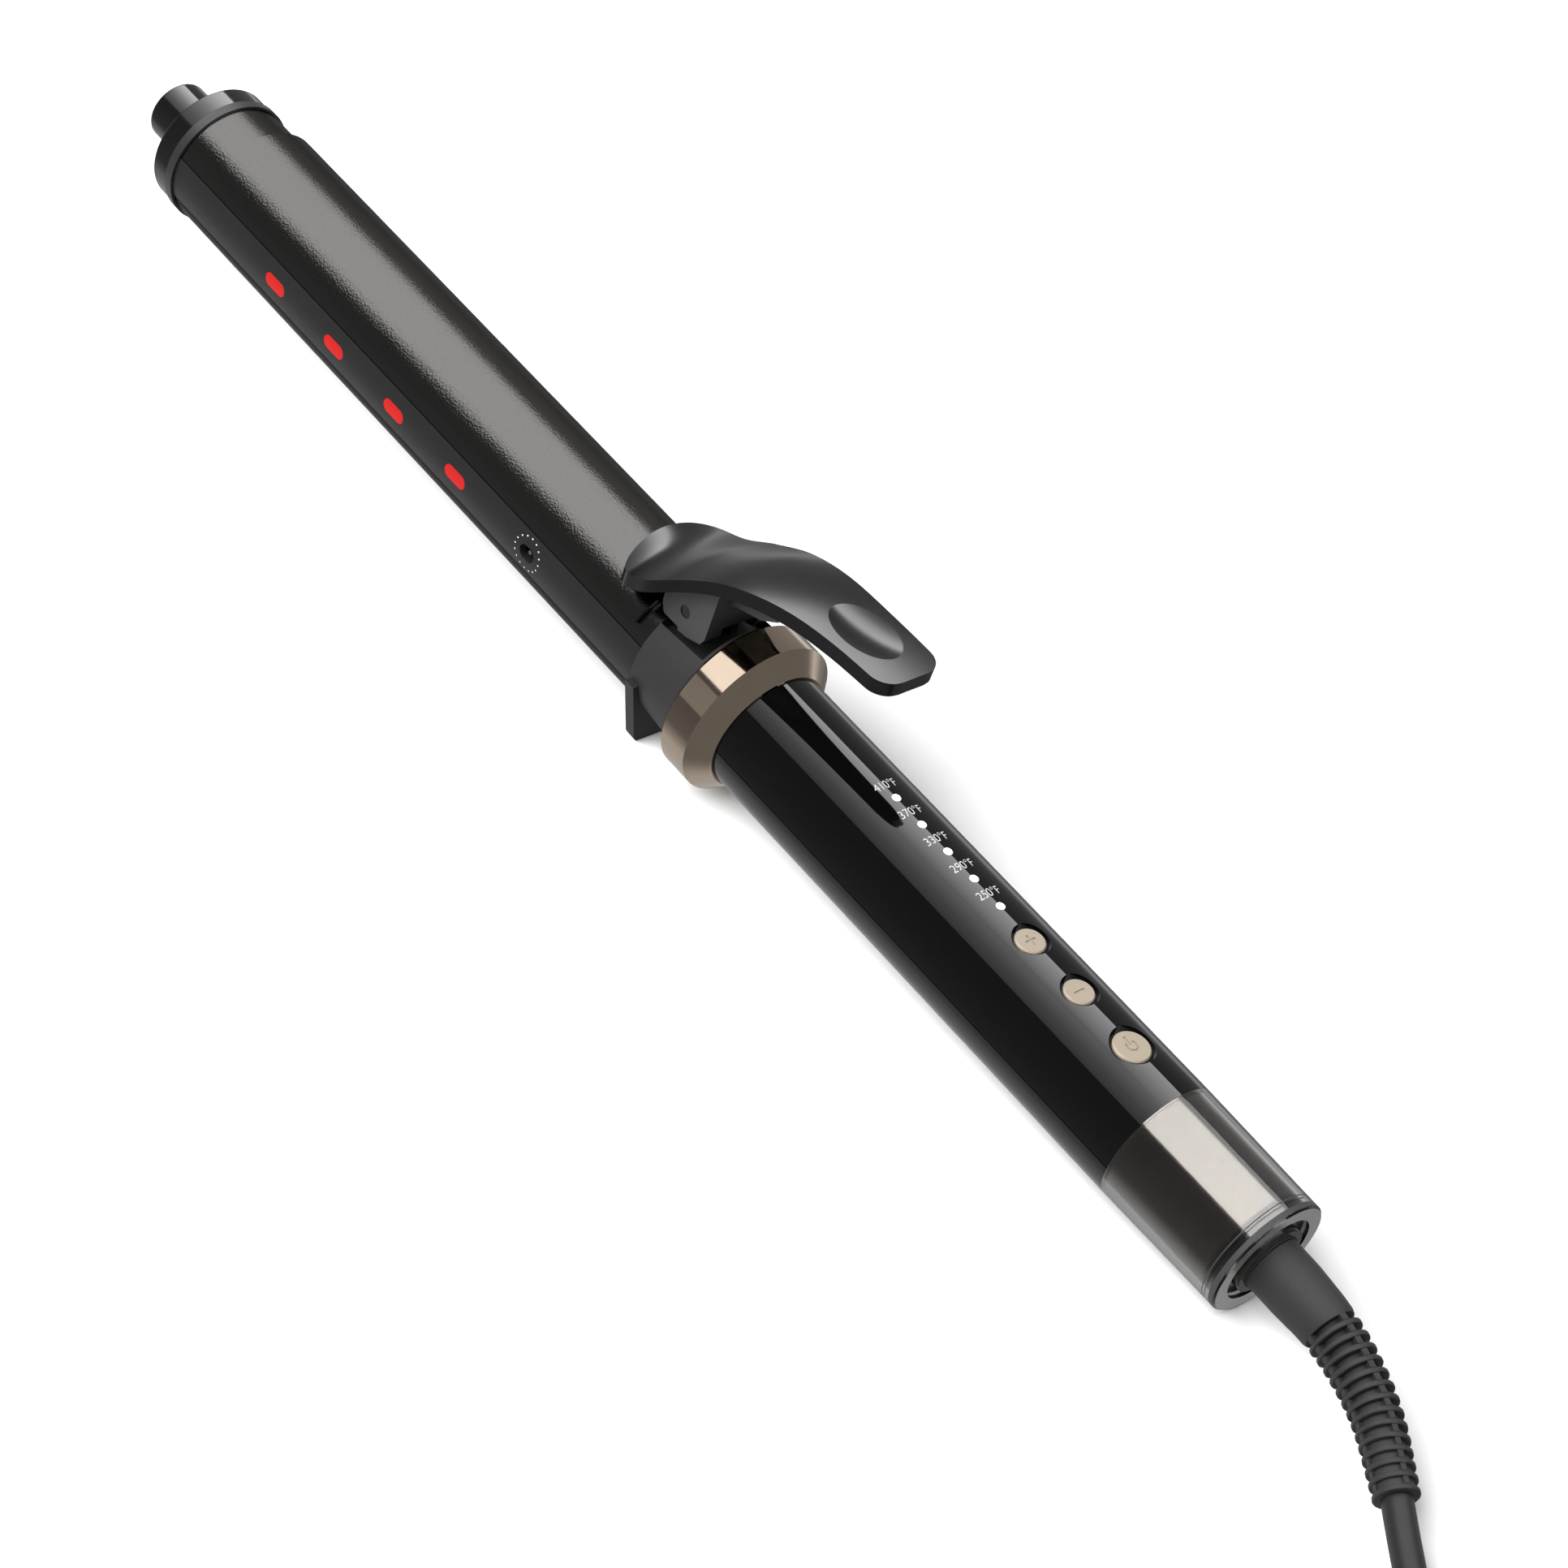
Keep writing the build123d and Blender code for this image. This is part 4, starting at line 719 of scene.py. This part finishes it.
def hank_points():
    """The wound cord: two columns of three layers.  Each turn moves over to the next one's
    place in its own part of the round, so that no two turns meet."""
    low, middle, top = (CORD_D * (layer + 0.5) for layer in range(3))
    outer, inner = HANK_R + CORD_D / 2, HANK_R - CORD_D / 2
    turns = [
        # Radius, height, share of the turn at which it starts to move over
        (outer, low, 0.72),
        (inner, low, 0.56),
        (inner, middle, 0.40),
        (outer, middle, 0.24),
        (outer, top, 0.08),
        (inner, top, 1.0),
    ]
    run = HANK_RUN / (2 * (HANK_RUN + pi * HANK_R))
    shares = [run * (step + 0.5) / RUN_STEPS for step in range(RUN_STEPS)]
    shares += [run + (0.5 - run) * (step + 0.5) / FOLD_STEPS for step in range(FOLD_STEPS)]
    shares += [0.5 + share for share in shares]
    points = []
    for turn, (radius, height, start) in enumerate(turns):
        next_radius, next_height = turns[min(turn + 1, HANK_TURNS - 1)][:2]
        for share in shares:
            moved = smooth(start, start + HANK_MOVE, share)
            rise = CORD_D * smooth(*HANK_RISE, share) if turn == HANK_TURNS - 1 else 0
            points.append(
                hank_place(
                    share,
                    radius + (next_radius - radius) * moved,
                    height + (next_height - height) * moved + rise,
                )
            )
    return points


def make_cord():
    """One free cord from the strain relief through the hank to the plug."""
    points = CORD_LEAD + hank_points() + CORD_TAIL
    curve = bpy.data.curves.new("mains_cord", "CURVE")
    curve.dimensions = "3D"
    curve.bevel_depth = CORD_D / 2 * MM
    curve.bevel_resolution = CORD_STEPS
    curve.resolution_u = CORD_STEPS
    spline = curve.splines.new("NURBS")
    spline.points.add(len(points) - 1)
    for control, point in zip(spline.points, points):
        control.co = (*(value * MM for value in point), 1)
    spline.order_u = CORD_ORDER
    spline.use_endpoint_u = True
    curve.materials.append(FINISHES["cord_jacket"])
    cord = bpy.data.objects.new("mains_cord", curve)
    bpy.context.collection.objects.link(cord)
    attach(cord, "cord")
    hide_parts("cord_lead", "cord_hank", "cord_tail")


# Studio: the floor and lights are measured in metres
FLOOR_HALF = 6.0
# The floor lies a hair below the iron, so that nothing stands exactly in its plane
FLOOR_DROP = 0.0002
SKY = [
    # Direction round the iron in degrees, where 0 is +Y and 90 is up; light
    (-180, 0.13), (-140, 0.18), (-128, 0.38), (-115, 0.62), (-90, 0.62), (-62, 0.55), (-46, 0.18),
    (-30, 0.18), (-18, 0.38), (-8, 1.0), (0, 0.32), (46, 0.26), (60, 0.1), (150, 0.1), (180, 0.13),
]
REAR_LIGHT = 0.22
# How far a direction points to +X where the rear light begins, and where it is full
REAR_SHARES = (0.1, 0.5)
BOX_HEIGHT = 2.5
# Where the softboxes start and end along X, and the angles of their far and near edges
BOX_X = (-4.5, 4.5)
RING_BOX_X = (-4.5, 0.5)
GLOSS_ANGLES = (48.0, 132.5)
METAL_ANGLES = (51.5, 128.5)
RING_ANGLES = (58.0, 139.0)
LEVER_ANGLES = (46.0, 92.0)
# Share across the box from its near edge, light
GLOSS_BOX = [(0.0, 0.6), (0.25, 1.1), (0.38, 1.7), (0.49, 2.3), (0.6, 3.4), (0.75, 4.4), (1.0, 5.0)]
METAL_BOX = [(0.0, 1.6), (1.0, 1.6)]
SLEEVE_BOX = [(0.0, 3.5), (1.0, 3.5)]
LEVER_BOX = [(0.0, 0.6), (0.36, 1.8), (0.6, 5.6), (1.0, 7.6)]
PANEL_SIZE = (5.0, 2.5)
PANELS = [
    # Name, place, turn about Z in degrees, light, the one node that reflects it.  The floor shows
    # in no reflection, so a panel may hang below it
    ("ring_panel", (-2.0, -3.75, 1.25), 0, 0.22, "trim_ring"),
    ("disc_panel", (1.5, 0.0, -1.8), 90, 2.6, "end_cap"),
]
# Name, light, place, size
LAMPS = [("key_lamp", 2.45, (-1.5, -3.9, 3.9), 5.5), ("fill_lamp", 0.5, (0.6, 4.2, 3.6), 5.5)]
GLOSS_NODES = ("handle_shell_upper", "handle_shell_lower", "cool_tip")
SLEEVE_NODES = ("clear_sleeve", "end_sleeve")
OWN_LIGHT_NODES = (*GLOSS_NODES, *SLEEVE_NODES, "trim_ring", "lever_shell", "end_cap")


def ramp_of(tree, factor, stops):
    """A colour ramp of grey stops, scaled so that its brightest is 1; returns it and the scale."""
    peak = max(light for _, light in stops)
    ramp = tree.nodes.new("ShaderNodeValToRGB")
    elements = ramp.color_ramp.elements
    while len(elements) < len(stops):
        elements.new(0.5)
    for element, (at, light) in zip(elements, stops):
        element.position = at
        element.color = (*grey(light / peak), 1)
    tree.links.new(factor, ramp.inputs["Fac"])
    return ramp.outputs["Color"], peak


def make_sky():
    """A dim sky that shows only in reflections, lighter below and behind the iron."""
    world = bpy.data.worlds.new("studio")
    bpy.context.scene.world = world
    world.use_nodes = True
    tree = world.node_tree
    background = tree.nodes["Background"]
    direction = tree.nodes.new("ShaderNodeTexCoord").outputs["Generated"]
    split = tree.nodes.new("ShaderNodeSeparateXYZ")
    tree.links.new(direction, split.inputs[0])
    angle = tree.nodes.new("ShaderNodeMath")
    angle.operation = "ARCTAN2"
    tree.links.new(split.outputs["Z"], angle.inputs[0])
    tree.links.new(split.outputs["Y"], angle.inputs[1])
    turn = tree.nodes.new("ShaderNodeMapRange")
    turn.inputs["From Min"].default_value = -pi
    turn.inputs["From Max"].default_value = pi
    tree.links.new(angle.outputs[0], turn.inputs["Value"])
    stops = [((at + 180) / 360, light) for at, light in SKY]
    sky, peak = ramp_of(tree, turn.outputs["Result"], stops)
    rear = tree.nodes.new("ShaderNodeMapRange")
    rear.interpolation_type = "SMOOTHSTEP"
    rear.inputs["From Min"].default_value, rear.inputs["From Max"].default_value = REAR_SHARES
    tree.links.new(split.outputs["X"], rear.inputs["Value"])
    blend = tree.nodes.new("ShaderNodeMix")
    blend.data_type = "RGBA"
    blend.inputs["B"].default_value = (*grey(REAR_LIGHT / peak), 1)
    tree.links.new(rear.outputs["Result"], blend.inputs["Factor"])
    tree.links.new(sky, blend.inputs["A"])
    tree.links.new(blend.outputs["Result"], background.inputs["Color"])
    background.inputs["Strength"].default_value = peak
    world.cycles_visibility.diffuse = False


def link_light(lamp, names, state):
    """Lets a lamp light only, or all but, some pieces, and only in their reflections."""
    lamp.visible_diffuse = False
    lamp.visible_camera = False
    group = bpy.data.collections.new(lamp.name)
    lamp.light_linking.receiver_collection = group
    for name in names:
        group.objects.link(frame["nodes"].get(name) or bpy.data.objects[name])
    for member in group.collection_objects:
        member.light_linking.link_state = state


def softbox(name, angles, stops, names, state, run=BOX_X):
    """A wide box over the iron between two angles round it, seen in reflections."""
    far, near = (BOX_HEIGHT / sin(radians(a)) * cos(radians(a)) for a in angles)
    light = bpy.data.lights.new(name, "AREA")
    light.shape = "RECTANGLE"
    light.size = run[1] - run[0]
    light.size_y = far - near
    light.use_nodes = True
    tree = light.node_tree
    across = tree.nodes.new("ShaderNodeSeparateXYZ")
    tree.links.new(tree.nodes.new("ShaderNodeNewGeometry").outputs["Parametric"], across.inputs[0])
    colour, peak = ramp_of(tree, across.outputs["Y"], stops)
    tree.links.new(colour, tree.nodes["Emission"].inputs["Color"])
    light.energy = peak * pi * light.size * light.size_y
    box = bpy.data.objects.new(name, light)
    bpy.context.collection.objects.link(box)
    box.location = ((run[0] + run[1]) / 2, (far + near) / 2, BOX_HEIGHT)
    link_light(box, names, state)


def side_panel(name, place, turn, level, node):
    """An upright panel that only one piece reflects."""
    light = bpy.data.lights.new(name, "AREA")
    light.shape = "RECTANGLE"
    light.size, light.size_y = PANEL_SIZE
    light.energy = level * pi * light.size * light.size_y
    panel = bpy.data.objects.new(name, light)
    bpy.context.collection.objects.link(panel)
    panel.location = place
    panel.rotation_euler = (radians(90), 0, radians(turn))
    link_light(panel, [node], "INCLUDE")


def soft_lamp(name, level, place, size):
    """A wide lamp aimed at the iron that lights it and the floor but shows in no reflection."""
    lamp = bpy.data.objects.new(name, bpy.data.lights.new(name, "AREA"))
    bpy.context.collection.objects.link(lamp)
    lamp.data.size = size
    lamp.location = place
    lamp.rotation_euler = (-lamp.location).to_track_quat("-Z", "Y").to_euler()
    lamp.data.energy = level * 4 * pi * lamp.location.length_squared
    lamp.visible_glossy = False
    lamp.visible_camera = False
    lamp.visible_transmission = False


def make_floor():
    """A plain pale floor that shows in no reflection."""
    mesh = bpy.data.meshes.new("floor")
    corner = FLOOR_HALF
    corners = [(-corner, -corner, 0), (corner, -corner, 0), (corner, corner, 0), (-corner, corner, 0)]
    mesh.from_pydata(corners, [], [(0, 1, 2, 3)])
    floor = bpy.data.objects.new("floor", mesh)
    bpy.context.collection.objects.link(floor)
    mesh.materials.append(finish("floor", grey(0.9), 0.9, mottle=(50.0, 0.005), grain=(2.0, 0.0)))
    floor.location.z = -FLOOR_DROP
    floor.visible_glossy = False
    floor.visible_transmission = False


def make_studio():
    """A pale floor under two soft lamps, with a sky and softboxes for what the iron reflects."""
    make_sky()
    softbox("gloss_box", GLOSS_ANGLES, GLOSS_BOX, GLOSS_NODES, "INCLUDE")
    softbox("sleeve_box", METAL_ANGLES, SLEEVE_BOX, SLEEVE_NODES, "INCLUDE")
    softbox("lever_box", LEVER_ANGLES, LEVER_BOX, ["lever_shell"], "INCLUDE")
    softbox("metal_box", METAL_ANGLES, METAL_BOX, OWN_LIGHT_NODES, "EXCLUDE")
    softbox("ring_box", RING_ANGLES, METAL_BOX, ["trim_ring"], "INCLUDE", RING_BOX_X)
    for panel in PANELS:
        side_panel(*panel)
    for lamp in LAMPS:
        soft_lamp(*lamp)
    make_floor()
    bpy.context.scene.view_settings.view_transform = "Standard"


make_camera()
make_marks()
make_ion_dots()
make_seams()
make_end()
make_lever()
make_relief()
make_cord()
make_studio()
